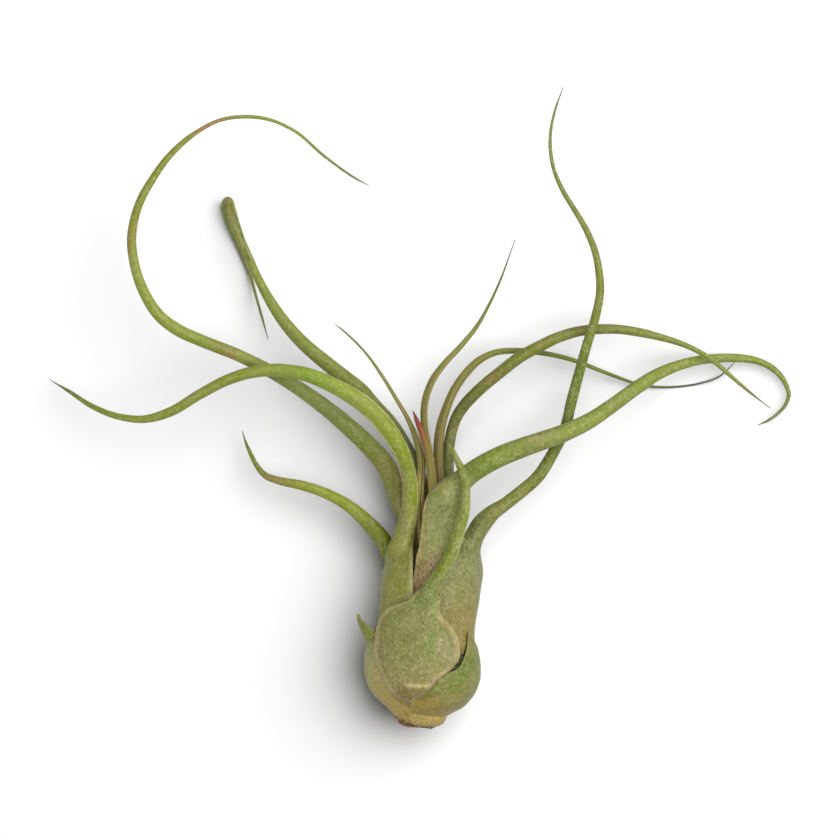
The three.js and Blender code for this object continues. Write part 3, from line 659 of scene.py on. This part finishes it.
leaf(
    "left_short_sheath", "sheath_left_short", SHEATH_FINISH, layer=-1, turn=-72,
    detail=2,
    sheath=[
        (0.7, -61, 45, -0.62), (1.6, -61, 45, -0.66), (3.2, -61, 45, -0.76), (5.4, -62, 44, -0.9),
        (6.6, -64, 42, -0.98), (8.9, -67, 39, -1.1), (12.6, -70, 37, -1.26),
        (15.6, -72, 35, -1.34), (19, -73, 34, -1.34), (22, -77, 31, -1.3),
    ],
    blade=[
        (-10.6, 7.2, 16.1, 16.4, 47), (-12.2, 10.8, 17, 15.8, 41), (-12.9, 12.9, 17.8, 15.9, 25),
        (-13.3, 14.6, 18.4, 16, 2.6),
    ],
    # These tones are painted lighter than the tissue: painted light on the sheath's left flank,
    # which faces away from the lamps.
    tones=[
        (-1.7, -19, "#c4a860"), (-1.5, -16.5, "#c6ae60"), (-1.3, -13, "#c0ae72"),
        (-1, -9, "#beb284"), (-0.6, -3, "#b8b48e"), (-0.2, 2, "#a6a878"), (-10.3, 7.2, "#909a38"),
        (-12.8, 13.9, "#84942c"),
    ],
    patches=[
        ([(-14.5, -7), (-13, -3)], 2, "#c4b298", 0.6),
        ([(-17, -9), (-12, -14)], 2, "#c8b878", 0.5),
        ([(-18.5, 2), (-18, -6)], 1.2, "#b8c094", 0.5),
        ([(-2.9, -17.5), (-3.4, -15.6)], 1.6, "#b89e54", 0.9),
        # Painted shadow: a darker streak in the valley along the front leaf's lower left margin,
        # up and left from the notch.
        ([(-4.6, -15), (-9, -11.8)], 1.3, "#a08c50", 0.7),
    ],
    margin=("#b0a07c", 0.9, 0.5))

leaf(
    "right_short_sheath", "sheath_right_short", SHEATH_FINISH, layer=-1, turn=55,
    detail=2,
    sheath=[
        (1.9, 55.5, 73.5, -0.5), (2.9, 55.5, 73.5, -0.66), (3.8, 56, 73, -0.76),
        (5.3, 57, 72, -0.94), (7.7, 61.5, 67.5, -0.92), (10, 65, 64, -0.94), (12, 67, 62, -1.02),
        (14.6, 72, 57, -0.97), (16.7, 80, 46, -0.9), (17.9, 83, 43, -0.84),
        (19.4, 84.5, 41, -0.72), (21.5, 80, 31.5, -0.5), (23.4, 72, 19.5, -0.34),
        (25.4, 64.5, 10, -0.26), (27.2, 60, 4.5, -0.22), (28.3, 57.2, 1.2, -0.2),
    ],
    blade=[],
    tones=[
        (-1.6, -18, "#b09c50"), (-1.5, -17, "#aa9a50"), (-1.2, -13.5, "#9a9252"),
        (-1, -9, "#868c48"), (-0.6, -4, "#82884a"), (0, 2, "#80884c"), (0.4, 6, "#858c50"),
    ],
    patches=[
        ([(9, -7), (14, -2)], 3.6, "#6f8630", 0.7), ([(3, -13), (10, -12.5)], 1.8, "#a8a078", 0.6),
        ([(-3, -14), (3, -14.6)], 2.8, "#b09a50", 0.7),
        ([(13, -9), (15.5, -5)], 2.4, "#8f9468", 0.5),
        ([(6.9, -17), (3, -17.6), (-1, -17.9)], 0.8, "#b09860", 0.8),
        ([(-2.9, -17.5), (-2.6, -14.8), (0, -15.6)], 1.8, "#b49c52", 0.9),
    ],
    margin=("#ac966c", 0.9, 0.6))

# ---- Long blades -----------------------------------------------------------------------------
# Each long leaf starts as a sheath in the bulb, rolls itself shut at the neck and goes on as a
# slim, hollow blade that tapers to a point. The tissue is the same, but the blades are smoother
# and greener than the sheaths, with a thin pale rim.

BLADE_FINISH = leaf_finish("leaf_blade", worn=0.45, scales=0.18, specks=0.35, dots=0.45,
                           vein=0.06, dull=0.5)
THIN_RIM = ("#b9b88c", 0.5, 0.6)
FOOT_TONE = (-1.6, -18, "#b3a052")  # where a long leaf leaves the stem, and its tone there

leaf(
    "low_left_leaf", "leaf_left_low", BLADE_FINISH, layer=-1, turn=0,
    sheath=[
        (0, -172, 47), (8, -172, 47), (14, -172, 48), (20, -172, 48), (26, -172, 48),
        (32, -168, 44), (38, -160, 32, -0.6), (43, -143, 20, 0.3),
    ],
    blade=[
        (-9.8, 29.5, 9.2, 6.2, 100, -115), (-11.6, 33.2, 11, 5.4, 150, -85),
        (-14.1, 36.5, 12, 5.1, ROLLED, -55), (-17.7, 40.2, 12.6, 4.5, ROLLED, -30),
        (-22.5, 44.4, 13, 3.8, ROLLED, -10), (-28.5, 47.9, 13, 3.3), (-37.5, 51, 12.5, 3),
        (-43.5, 52.2, 12, 2.5), (-48, 53.9, 11, 2.1), (-50.7, 57, 9.5, 1.6), (-52.5, 60.6, 8, 1.3),
        (-53.7, 63.3, 7.2, 0.9), (-54.9, 67.2, 6),
    ],
    tones=[
        FOOT_TONE, (-0.5, 0, "#98a060"), (-10, 29, "#7f8c10"), (-16, 38.5, "#808c00"),
        (4, "#96a610"), (5, "#9aaa1c"), (6, "#98a62c"), (-45, 52.6, "#9a8a58"),
        (-48.5, 54.5, "#8d8850"), (10, "#7f9430"), (12, "#70804a"),
    ],
    margin=THIN_RIM)

leaf(
    "left_arching_leaf", "leaf_left_arch", BLADE_FINISH, layer=0, turn=-50, detail=1.5,
    sheath=[
        (0, -78, 56), (8, -80, 58), (14, -80, 60), (21, -80, 60), (30, -80, 60), (37.5, -70, 50),
        (43, -67, 45), (48, -62, 37),
    ],
    blade=[
        (-5.9, 31, 18.8, 11.6, 78, -54), (-6.65, 34.5, 19.6, 7.1, 124, -42),
        (-5, 41, 20.4, 6, 78, -9), (-4.5, 49.5, 22, 5.75, 68, 2), (-6.2, 58.5, 24.5, 5.7, 66, 5),
        (-10.8, 66.9, 27.5, 6.5, 66, 6), (-16.5, 73.5, 29.5, 6.3, 71, 5),
        (-25.5, 79.8, 31, 5.2, 100, 0), (-37.5, 84.6, 31, 4.3), (-49.5, 85.2, 30, 3.8),
        (-58.5, 82.8, 28, 3.4), (-67.5, 78.2, 26, 3.2), (-76.5, 72.9, 24, 3), (-84, 70.8, 22, 2.5),
        (-91.5, 71.5, 19.5, 2.1), (-100.5, 75, 14.5, 1.7), (-106.5, 78.9, 10, 1.2),
        (-112.8, 82.7, 6),
    ],
    tones=[
        FOOT_TONE, (0, 0, "#979a58"), (1, 16, "#93984e"), (2, 28, "#959a50"),
        (-5.8, 38, "#949a52"), (3, "#92a02e"), (4, "#8ca01c"), (5, "#94a620"), (6, "#9aa83c"),
        (7, "#98ae3a"), (-33, 83, "#8cac20"), (-42, 85, "#94a840"), (9, "#98a84a"),
        (10, "#8fa138"), (11, "#97a250"), (12, "#93a33a"), (13, "#95a43c"), (15, "#8a9c44"),
        (17, "#6f7c40"),
    ],
    patches=[
        ([(-6.6, 36), (-6.4, 46), (-6.6, 56)], 1.5, "#8a8a5c", 0.7),
        ([(-3.3, 46), (-3.6, 51), (-4.8, 60)], 1.3, "#84960c", 0.9),
        ([(-6.4, 64), (-11, 70)], 1.3, "#90a418", 0.8),
        ([(-12, 18), (-13, 34)], 3, "#98985e", 0.55),
    ],
    margin=("#b4b088", 1.6, 0.9, "#dedaba"))

leaf(
    "right_tall_leaf", "leaf_right_tall", SHEATH_FINISH, layer=0, turn=60, detail=1.5,
    sheath=[
        (0, 72, 52), (8, 70, 60), (14, 68, 61), (20, 66, 60, 0.15), (25, 66, 60, 0.36),
        (30, 65, 59, 0.4), (34, 65, 59, 0.24), (37.5, 64, 60, 0), (41.5, 65, 56, -0.2),
        (45.5, 66, 49, -0.46), (48.5, 69, 43, -0.44), (51, 73, 42, -0.3),
    ],
    blade=[
        (12.4, 34, 17.6, 9.6, 90), (15.2, 37, 18.2, 6.6, 135), (17.5, 40.1, 18.5, 6),
        (20.1, 42.7, 19, 5.1), (24.3, 45.6, 19.2, 4.2), (28.5, 48.9, 19.2, 4.1),
        (33.6, 53.4, 18.8, 4), (38.4, 60.9, 18, 3.7), (41.7, 67.5, 17.2, 3.5),
        (43.8, 75.9, 17.2, 3.5), (46.2, 84.9, 18, 3.3), (48.6, 93.6, 19.5, 3.1),
        (51, 101.4, 21, 2.9), (52.4, 109.5, 22.5, 2.7), (52, 115.5, 23.2, 2.5),
        (50.7, 121.5, 23.8, 2.3), (48.2, 127.5, 24, 2.1), (44.7, 133.5, 24, 1.8),
        (41.1, 139.5, 24, 1.6), (38.6, 145.5, 23.5, 1.3), (37.5, 152.1, 23, 1.2),
        (37.7, 157.5, 22, 1), (39, 163.5, 21, 0.8), (41.4, 170.4, 20),
    ],
    tones=[
        FOOT_TONE, (-0.5, -5, "#9c8c50"), (0.5, 5, "#9c905a"), (1.2, 14, "#999264"),
        (2, 22, "#90926a"), (3, 28, "#868e68"), (14, 36, "#808858"), (20, 42.5, "#878f4e"),
        (5, "#868f40"), (6, "#7a8636"), (7, "#708226"), (42.5, 70, "#6c821a"), (10, "#687e08"),
        (11, "#728810"), (12, "#808e2e"), (13, "#869036"), (15, "#86923c"), (18, "#808a42"),
        (20, "#86925a"), (23, "#6f7650"),
    ],
    patches=[
        # Painted shade: dark green in the neck, where the inside of the roll lies in shade.
        ([(11.5, 32), (13, 36), (15, 39)], 2, "#66702e", 0.7),
        ([(20, 45), (27, 50)], 1.4, "#7c8f3a", 0.6), ([(10, 2), (14, 12)], 3, "#a08a58", 0.6),
        # Painted shadow: dark brown along the crack between the right short sheath's margin and
        # this leaf.
        ([(12.8, 3), (11.6, 0.2)], 0.9, "#3a2c0c", 0.85),
        ([(11.4, -0.2), (9.8, -2.4), (8.2, -4)], 1.9, "#2a2008", 0.92),
    ],
    margin=("#8f9268", 0.8, 0.5))

leaf(
    "right_long_leaf", "leaf_right_long", SHEATH_FINISH, layer=1, turn=20, detail=1.5,
    sheath=[
        (0, 25, 48), (10, 25, 50), (20, 25, 48), (30, 24, 49), (40, 24, 49), (48.5, 20.5, 45),
        (54.5, 11.5, 35.5), (60, 9, 36),
    ],
    blade=[
        (7, 48, 22.4, 11.4, 86), (9.3, 50.6, 22.8, 8.4, 106), (12.6, 53.7, 23, 6.7, 125),
        (16.5, 56.4, 23.5, 6.4), (22.5, 59.6, 24.2, 6.3), (28.5, 62, 24.6, 6.1),
        (34.5, 64.1, 24.8, 5.8), (42.3, 66.9, 24.5, 5.4), (49.5, 70.4, 23.5, 4.9),
        (55.5, 74.4, 21.5, 4.5), (64.5, 80.9, 16.5, 4.2), (70.5, 84.6, 12.5, 3.7),
        (76.5, 87, 9.5, 3.2), (82.5, 88.5, 7.5, 2.9), (88.5, 89.1, 6, 2.8), (94.5, 89.1, 5, 2.6),
        (99, 88.5, 4.3, 2.3), (103.5, 86.7, 3.7, 2.1), (106.5, 84.3, 3.3, 1.9),
        (108.5, 81.3, 3.2, 1.6), (109.4, 78, 3.2, 1.4), (108.3, 74.9, 3.2, 1.2),
        (105.9, 72.3, 3.3, 1), (102.9, 70.2, 3.5, 0.8), (100.2, 69, 3.6),
    ],
    tones=[
        FOOT_TONE, (1, 14, "#9a7f5c"), (1.6, 22, "#97785c"), (2.2, 28, "#98906a"),
        (2.8, 34, "#949a6c"), (4, 44, "#939f6b"), (8.1, 50, "#9aa272"), (2, "#97a468"),
        (3, "#87a03f"), (4, "#8ca441"), (5, "#8c9e4e"), (6, "#929c60"), (7, "#8ea04a"),
        (8, "#92a44a"), (57, 75.5, "#8f9f52"), (10, "#8c9f40"), (12, "#8ea03c"), (14, "#98a84c"),
        (16, "#8fa03c"), (19, "#8a9c54"), (24, "#6f7450"),
    ],
    patches=[
        ([(13.5, 54), (19, 57)], 2.1, "#82963c", 0.6),
        ([(31.5, 64.8), (35, 65.8)], 1.1, "#b3b090", 0.7),
        ([(-3, 18), (1, 24), (3, 28)], 3, "#94765a", 0.85),
        ([(4.5, 30.6), (-2.2, 26.8)], 0.5, "#7c6446", 0.7),
        ([(-1.5, 30), (0.5, 42)], 1.6, "#a8a274", 0.7), ([(4, 38), (6, 46)], 2.6, "#78885a", 0.6),
        # Painted shade: dark green that fills the hole, standing for this leaf's tissue in shade.
        ([(11, 30), (12.5, 34)], 2.4, "#60682e", 0.95),
    ],
    margin=("#cdb99e", 1.5, 0.9), edge_line=("#7a5c3a", 1.5, 0.3, 0.4))

leaf(
    "looping_leaf", "leaf_left_loop", BLADE_FINISH, layer=2, turn=-10,
    sheath=[(0, -140, 38), (10, -140, 38), (18, -140, 34), (26, -140, 20)],
    blade=[
        (-5.7, 15, 10.2, 5.6, 54, -135), (-3.8, 24, 10, 6.2, 115, -115),
        (-3.1, 32, 10.2, 6.1, 135, -90), (-5.7, 42, 11.8, 6.2, ROLLED, -60),
        (-7.8, 46.8, 12, 6, ROLLED, -40), (-9.6, 51.6, 12.5, 6, ROLLED, -25),
        (-12, 57, 13.5, 6, ROLLED, -15), (-16.5, 62.4, 15, 5.7), (-22.5, 68.1, 17, 5.4),
        (-34.5, 77.7, 20, 4.6), (-46.5, 85.2, 23, 4), (-55.5, 89.7, 25, 3.8),
        (-67.5, 94.5, 27.5, 3.8), (-73.5, 97.2, 28.5, 3.8), (-79.5, 101.7, 29.5, 3.6),
        (-84.3, 109.2, 30.3, 3.3), (-87.2, 118.5, 31, 3), (-87.8, 124.5, 31.3, 2.9),
        (-87, 130.5, 31.5, 2.7), (-85, 136.5, 31.5, 2.6), (-81.6, 142.5, 31.3, 2.4),
        (-77.4, 148.5, 31, 2.1), (-72.6, 153.4, 30.5, 1.8), (-67.5, 157.2, 30, 1.4),
        (-61.5, 160.2, 29.5, 1.2), (-53.7, 161.3, 29, 1.2), (-46.5, 160.4, 28.5, 1.1),
        (-39.3, 157.2, 28, 1), (-30, 149.4, 27, 0.9), (-21, 143, 25.5, 0.7), (-16.8, 140.7, 25),
    ],
    tones=[
        FOOT_TONE, (-5.7, 20, "#7f7a40"), (4, "#868a44"), (6, "#8b9040"), (-19, 65, "#8c9c48"),
        (-28, 72.5, "#8a9a58"), (-38, 80, "#93a45c"), (10, "#8c9a50"), (11, "#93a046"),
        (-60, 91.5, "#94904c"), (-64, 93, "#8c9c30"), (13, "#93a838"), (14, "#96a634"),
        (15, "#98a83a"), (16, "#98a848"), (17, "#98983c"), (19, "#8f9a34"), (20, "#93a040"),
        (21, "#8c9a2a"), (-70, 155.4, "#94943c"), (-66, 158, "#b08a6a"), (24, "#a08c5a"),
        (25, "#8c9c40"), (27, "#93a446"), (30, "#6f7a48"),
    ],
    patches=[
        ([(-58.5, 89.6), (-57, 89.4)], 1.2, "#b08a62", 0.8),
        ([(-88.9, 118), (-89, 128)], 0.8, "#a08048", 0.6),
    ],
    margin=THIN_RIM)

leaf(
    "folded_leaf", "leaf_left_folded", BLADE_FINISH, layer=3, turn=0,
    sheath=[(0, -180, 38), (10, -180, 38), (18, -180, 34), (26, -180, 20)],
    blade=[
        (3.4, 15, 7.6, 5.6, 52, -170), (3.2, 24, 8, 6, 115, -145), (3.3, 32, 7.8, 5.4, 135, -115),
        (1.6, 40, 10, 5.6, ROLLED, -80), (-1, 50, 12, 5.2, ROLLED, -45),
        (-3.6, 57.5, 12.8, 5, ROLLED, -15), (-6.2, 62.4, 13, 5), (-10.5, 69.3, 13, 4.9),
        (-15.3, 74.7, 13.3, 4.8), (-19.5, 79.5, 13.5, 4.8), (-24, 83.1, 13.5, 4.7),
        (-30, 87.9, 13.5, 4.5), (-36, 93, 13.5, 4.2), (-42, 99.6, 13, 3.8), (-48, 108.9, 12, 3),
        (-51.4, 115.8, 11, 2.6), (-53.2, 120, 10.3, 2.6), (-55.3, 124.8, 9.6, 2.6),
        (-56.7, 129.2, 8.8, 2.5), (-57.9, 133.6, 7.6, 2.4), (-58.7, 136.2, 5.6, 2.4),
        (-59.7, 136.2, 3.4, 2.5), (-60.1, 134.9, 1.7, 2.6), (-59.6, 132.5, 1.3, 2.6),
        (-58.6, 129, 1.1, 2.2), (-56.5, 124.6, 0.95, 1.9), (-54.6, 120, 0.9, 1.5),
        (-52.9, 115.4, 1, 1.2), (-50.6, 107, 2.5, 0.8), (-48.9, 101.1, 4, 0.7), (-47.2, 94.8, 6),
    ],
    tones=[
        FOOT_TONE, (3, "#6a6a34"), (5, "#74784c"), (7, "#777e3e"), (9, "#7f8a30"), (11, "#8a9640"),
        (12, "#8c9c3c"), (13, "#8c9a40"), (14, "#8a9a34"), (-52.5, 119.1, "#8f9c3c"),
        (-55.2, 127.5, "#8f9a4c"), (-57.3, 134.2, "#a0a060"), (-60, 136.7, "#9a9a58"),
        (-60.5, 132.2, "#8c9450"), (-54, 118.5, "#90904c"), (28, "#8c8c50"), (30, "#6f7058"),
    ],
    patches=[
        ([(-59.6, 134.8), (-57, 128.6), (-54, 121.6)], 0.5, "#bab480", 0.75),
        # Painted shade: two dark lines in the grooves between the pressed strands of the folded
        # end.
        ([(-58.3, 135.4), (-55.7, 128), (-52.8, 118.4)], 0.45, "#525c1c", 0.8),
        ([(-60.7, 134.4), (-58.6, 128.6)], 0.4, "#66702a", 0.6),
        ([(-60.2, 136.4), (-59.2, 137), (-58, 136.6)], 0.5, "#aa9c70", 0.6),
    ],
    margin=THIN_RIM)

leaf(
    "right_arching_leaf", "leaf_right_arch", BLADE_FINISH, layer=1, turn=10,
    sheath=[(0, 130, 34), (10, 130, 36), (18, 130, 34), (26, 132, 24)],
    blade=[
        (8.6, 15, 9.6, 6, 75, 125), (8.8, 24, 9.8, 5, 115, 105), (8.6, 32, 10.2, 4.6, 135, 80),
        (7.8, 40, 10.8, 4.4, ROLLED, 50), (7, 48, 11.4, 4.2, ROLLED, 30),
        (6.8, 56, 12.2, 3.8, ROLLED, 15), (7.2, 63, 12.5, 3.5), (8.1, 67.5, 12.8, 3.4),
        (9.6, 71.7, 13.3, 3.5), (11.3, 74.3, 13.8, 3.6), (16.5, 79.8, 15.2, 3.7),
        (22.5, 84.8, 16.5, 3.7), (28.5, 89.4, 17.2, 3.65), (34.5, 92.7, 17, 3.6),
        (40.5, 95.5, 16, 3.4), (46.5, 97.2, 14.8, 3.2), (52.5, 97.8, 13.8, 3.1),
        (58.5, 97.7, 13, 2.9), (64.5, 96.8, 12.5, 2.8), (70.5, 95.4, 12, 2.3),
        (76.5, 93.6, 11.6, 1.9), (82.5, 90.9, 11.2, 1.6), (87, 87.9, 11, 1.5),
        (91.5, 84, 10.5, 1.3), (97.5, 78.9, 9.5, 0.9), (103.8, 74, 8),
    ],
    tones=[
        FOOT_TONE, (4, "#7a7c4c"), (6.8, 58, "#7c7e44"), (7, "#70743a"), (9, "#686e2c"),
        (10, "#747c2e"), (20.5, 83.3, "#827e44"), (24, 86, "#7c8430"), (30, 90.2, "#778618"),
        (13, "#80882e"), (15, "#80863a"), (17, "#828c3e"), (19, "#8c9c40"), (21, "#86983a"),
        (23, "#8f9c48"), (25, "#6c7040"),
    ],
    patches=[([(19.8, 83.2), (20.2, 83.6)], 1.2, "#b09070", 0.7)],
    margin=THIN_RIM)

# ---- Young leaves ----------------------------------------------------------------------------
# Three thin young leaves from the middle of the bulb, more brown than the grown ones, with pale
# bands along them where the roll overlaps. Their hidden ends sit deep in the bulb.

YOUNG_FINISH = leaf_finish("young_leaf", worn=0.2, scales=0.08, specks=0.1, dots=0.1, vein=0.24,
                           dull=0.52)
YOUNG_RIM = ("#b8ad84", 0.7, 0.8)

leaf(
    "thin_right_leaf", "leaf_thin_right", YOUNG_FINISH, layer=5.5, turn=60,
    sheath=[(0, 70, 40), (15, 70, 40), (25, 72, 36)],
    blade=[
        (6.4, 16, 17, 4, 100), (6.4, 30, 16.5, 3.6), (5.4, 42, 15.8, 3.3), (4.3, 52, 15.4, 3.2),
        (3.9, 61.5, 15.2, 3.2), (4.8, 69.3, 15.2, 3.1), (6, 73.2, 15, 2.9), (9, 80.1, 14.4, 2.7),
        (12.6, 85.1, 13.4, 2.6), (16.5, 88.7, 12.4, 2.4), (21, 90.8, 11.2, 2.1),
        (27, 91.4, 9.8, 2), (33, 91, 8.6, 1.8), (39, 90, 7.4, 1.6), (45, 88.4, 6.2, 1.5),
        (52.5, 85.5, 4.2, 1.3), (58.5, 83.2, 2.7, 1.1), (64.5, 81.2, 1.4, 0.9),
        (71, 80.4, 0.5, 0.8), (76.5, 80.6, 0.4, 0.7), (82.5, 81.5, 0.7, 0.6),
        (88.5, 83.6, 1.8, 0.6), (93.3, 88, 3.5),
    ],
    tones=[
        (0, 0, "#b3a052"), (3, "#94825a"), (4, "#8a7e4c"), (6, "#867e46"), (7, "#8a8848"),
        (9, "#888a42"), (11, "#8c9450"), (12, "#74903a"), (14, "#7f9640"), (16, "#7f9444"),
        (18, "#7f8c58"), (80, 81, "#6f7470"), (22, "#787c78"),
    ],
    margin=YOUNG_RIM)

leaf(
    "thin_middle_leaf", "leaf_thin_middle", YOUNG_FINISH, layer=5.5, turn=-150,
    sheath=[(0, -65, 40), (15, -65, 40), (25, -65, 36)],
    blade=[
        (-0.6, 16, 20, 3.8, 100), (0.1, 30, 19.2, 3), (1.2, 42, 18.7, 2.9), (2.4, 50, 18.6, 3),
        (2, 56, 18.4, 2.8), (1.5, 60, 18.2, 2.6), (0, 69, 17.6, 2.4), (-0.2, 72.9, 17.6, 2.4),
        (0.6, 78, 17.7, 2.4), (2.4, 82.5, 17.8, 2.3), (6, 87.5, 18, 2), (10.5, 92.3, 18, 1.8),
        (15.6, 98.6, 18, 1.4), (19.5, 105.6, 18, 0.9), (22.5, 112.2, 18, 0.7), (27, 124.5, 18),
    ],
    tones=[
        (0, 0, "#b3a052"), (3, "#b09a5c"), (5, "#8f8648"), (7, "#84803e"), (9, "#868444"),
        (11, "#949a60"), (13, "#7f8a48"), (15, "#70744c"),
    ],
    margin=YOUNG_RIM)

leaf(
    "thin_left_leaf", "leaf_thin_left", YOUNG_FINISH, layer=5.5, turn=-120,
    sheath=[(0, -180, 40), (15, -180, 40), (25, -180, 34)],
    blade=[
        (0.8, 16, 13.4, 3.4, 100), (-0.4, 30, 15, 2.8), (-1.6, 42, 17.4, 2.4),
        (-1.5, 50, 18.4, 2.6), (-1.1, 57.9, 17.8, 2.6), (-2.7, 65.1, 17.2, 2.1),
        (-5.1, 70.8, 17.8, 1.5), (-8.4, 76.5, 19, 1.3), (-12.6, 83.4, 20.3, 1.1),
        (-18, 90.9, 21, 0.8), (-24, 96.9, 21.5, 0.6), (-27, 99.3, 21.5),
    ],
    tones=[
        # Painted light: where the leaf lies deep in the throat its tones are made pale and bright,
        # lifting the shade that falls there.
        (0, 0, "#b3a052"), (-1.5, 36, "#e8d890"), (-1.5, 46, "#e0d288"), (-1.4, 52, "#c8ba70"),
        (-0.5, 57.9, "#a4a058"), (5, "#9a9a5a"), (7, "#9c9668"), (9, "#8a9058"), (11, "#747858"),
    ],
    margin=YOUNG_RIM)

# ---- Flower bud ------------------------------------------------------------------------------
# The tip of the young flower shoot: one slim pointed bract, folded along its length, purple and
# red at the point and olive below. It rises on a thin stalk from the middle of the bulb.

# x, y, z of its middle and its width.
BUD = np.array([
    [0.2, -4.2, 16.4, 3.4], [1, 4, 16.8, 2.6], [2.4, 16, 18.6, 2], [3.4, 30, 20.4, 2],
    [3, 42, 21.4, 2], [2, 50, 21.4, 2.2], [1.3, 57, 21.6, 2.4], [0.6, 61.5, 21.4, 2.2],
    [-0.3, 64.5, 21.2, 2.2], [-1.3, 67.5, 21.1, 2], [-2.5, 70.5, 21, 1.4], [-3.6, 73.2, 21, 0.3],
])
BUD_STEP = 0.5  # from one ring to the next
BUD_FACETS = 32
KEEL_HEIGHT = 0.14  # as a share of the bud's radius
KEEL_AT, KEEL_WIDTH = -20, 22  # degrees round the bud, from its top to the left
BAND_AT, BAND_EDGES = 62, (16, 6)  # a pale band: where its edges begin and end, from its middle
BAND_COLOUR, BAND_STRENGTH = "#c8a878", 0.7
BUD_TONES = [  # y and colour
    (-4, "#a8984e"), (50, "#94843e"), (58, "#8f8a44"), (61.5, "#967e48"), (64.5, "#9c6a42"),
    (67.5, "#a45c42"), (70, "#9c4248"), (71.6, "#964860"), (73.2, "#805064"),
]


def flower_bud():
    """A tube along the bud's middle line. Its section is round, with one low keel near the top
    that follows a bell curve."""
    rows, along = smooth(BUD, BUD_STEP)
    radius = rows[:, 3:4] / 2
    run = unit(np.gradient(rows[:, :3], axis=0))
    angle = (np.arange(BUD_FACETS) + 0.5) * 360 / BUD_FACETS
    from_top = (angle + 180) % 360 - 180
    bell = np.exp(-((from_top - KEEL_AT) / KEEL_WIDTH) ** 2)
    section = 1 + KEEL_HEIGHT * bell - KEEL_HEIGHT / 2
    spoke = facing(-angle, run[:, None])
    points = rows[:, None, :3] + (radius * section)[..., None] * spoke
    tone = tone_along(points[..., 1], *zip(*BUD_TONES))
    band = soft_step(*BAND_EDGES, np.abs(from_top - BAND_AT)) * np.ones((len(rows), 1))
    tone = blend(tone, linear(BAND_COLOUR), BAND_STRENGTH * band)
    marks = tissue_marks(tone, np.radians(angle) * radius, along[:, None], 1.0)
    finish = leaf_finish("bud_bract", worn=0.0, scales=0.06, specks=0.0, dots=0.0, vein=0.1,
                         dull=0.45)
    add_skin("flower_bud", points, "flower_bud", finish, marks)


flower_bud()

# ---- Surface, light and camera ---------------------------------------------------------------
# The plant lies on a plain white surface. A broad soft light from the upper right, with a fainter
# one above it, gives soft shadows to the lower left, and a third lights the plant alone from the
# other side, as a pale card beside it would. The camera looks straight down from far off.

FLOOR_HALF = 12.0  # metres, far beyond the edges of the picture
VIEW_CENTRE = (-1.5, 70.5)  # middle of the picture
VIEW_WIDTH = 252.0
CAMERA_HEIGHT = 6000.0
MIDDLE_HEIGHT = 17.0  # the height at which the picture has its stated width
SENSOR_WIDTH = 36.0
LAMP_DISTANCE = 1.6  # metres from the middle of the picture
ROOM_GLOW = 0.02  # what a white room adds from all sides

floor_mesh = bpy.data.meshes.new("white_surface")
floor_mesh.from_pydata(
    [(x * FLOOR_HALF, y * FLOOR_HALF, 0) for x, y in ((-1, -1), (1, -1), (1, 1), (-1, 1))],
    [], [(0, 1, 2, 3)])
floor = bpy.data.objects.new("white_surface", floor_mesh)
bpy.context.scene.collection.objects.link(floor)
floor_finish, tree, surface = new_finish("white_surface")
plug(tree, surface, {
    "Base Color": linear("#f4f4f5"), "Roughness": 0.9, "Specular IOR Level": 0.1})
floor_mesh.materials.append(floor_finish)


def soft_light(name, azimuth, elevation, size, power, only=None):
    """A square area light that faces the middle of the picture, with its size in metres and its
    power in watts. It may light only one collection."""
    lamp = bpy.data.lights.new(name, "AREA")
    lamp.size, lamp.energy = size, power
    light = bpy.data.objects.new(name, lamp)
    a, e = np.radians(azimuth), np.radians(elevation)
    way = np.array([np.sin(a) * np.cos(e), np.cos(a) * np.cos(e), np.sin(e)])
    middle = np.array([*VIEW_CENTRE, 0]) * MM
    light.location = (middle + LAMP_DISTANCE * way).tolist()
    light.rotation_mode = "QUATERNION"
    light.rotation_quaternion = Vector(way.tolist()).to_track_quat("Z", "Y")
    bpy.context.scene.collection.objects.link(light)
    light.light_linking.receiver_collection = only


plant = bpy.data.collections.new("plant")
for piece in list(bpy.context.scene.objects):
    if piece.type == "MESH" and piece != floor:
        plant.objects.link(piece)
soft_light("side_softbox", azimuth=65, elevation=55, size=2, power=42)
soft_light("high_softbox", azimuth=55, elevation=75, size=1.6, power=11)
soft_light("fill_softbox", azimuth=-115, elevation=45, size=2, power=36, only=plant)

world = bpy.data.worlds.new("white_room")
world.use_nodes = True
plug(world.node_tree, world.node_tree.nodes["Background"], {
    "Color": (1, 1, 1, 1), "Strength": ROOM_GLOW})
bpy.context.scene.world = world
bpy.context.scene.view_settings.view_transform = "Standard"

lens = bpy.data.cameras.new("camera")
lens.sensor_width = SENSOR_WIDTH
lens.lens = SENSOR_WIDTH * (CAMERA_HEIGHT - MIDDLE_HEIGHT) / VIEW_WIDTH
camera = bpy.data.objects.new("camera", lens)
camera.location = (VIEW_CENTRE[0] * MM, VIEW_CENTRE[1] * MM, CAMERA_HEIGHT * MM)
lens.clip_end = 4 * CAMERA_HEIGHT * MM
bpy.context.scene.collection.objects.link(camera)
bpy.context.scene.camera = camera
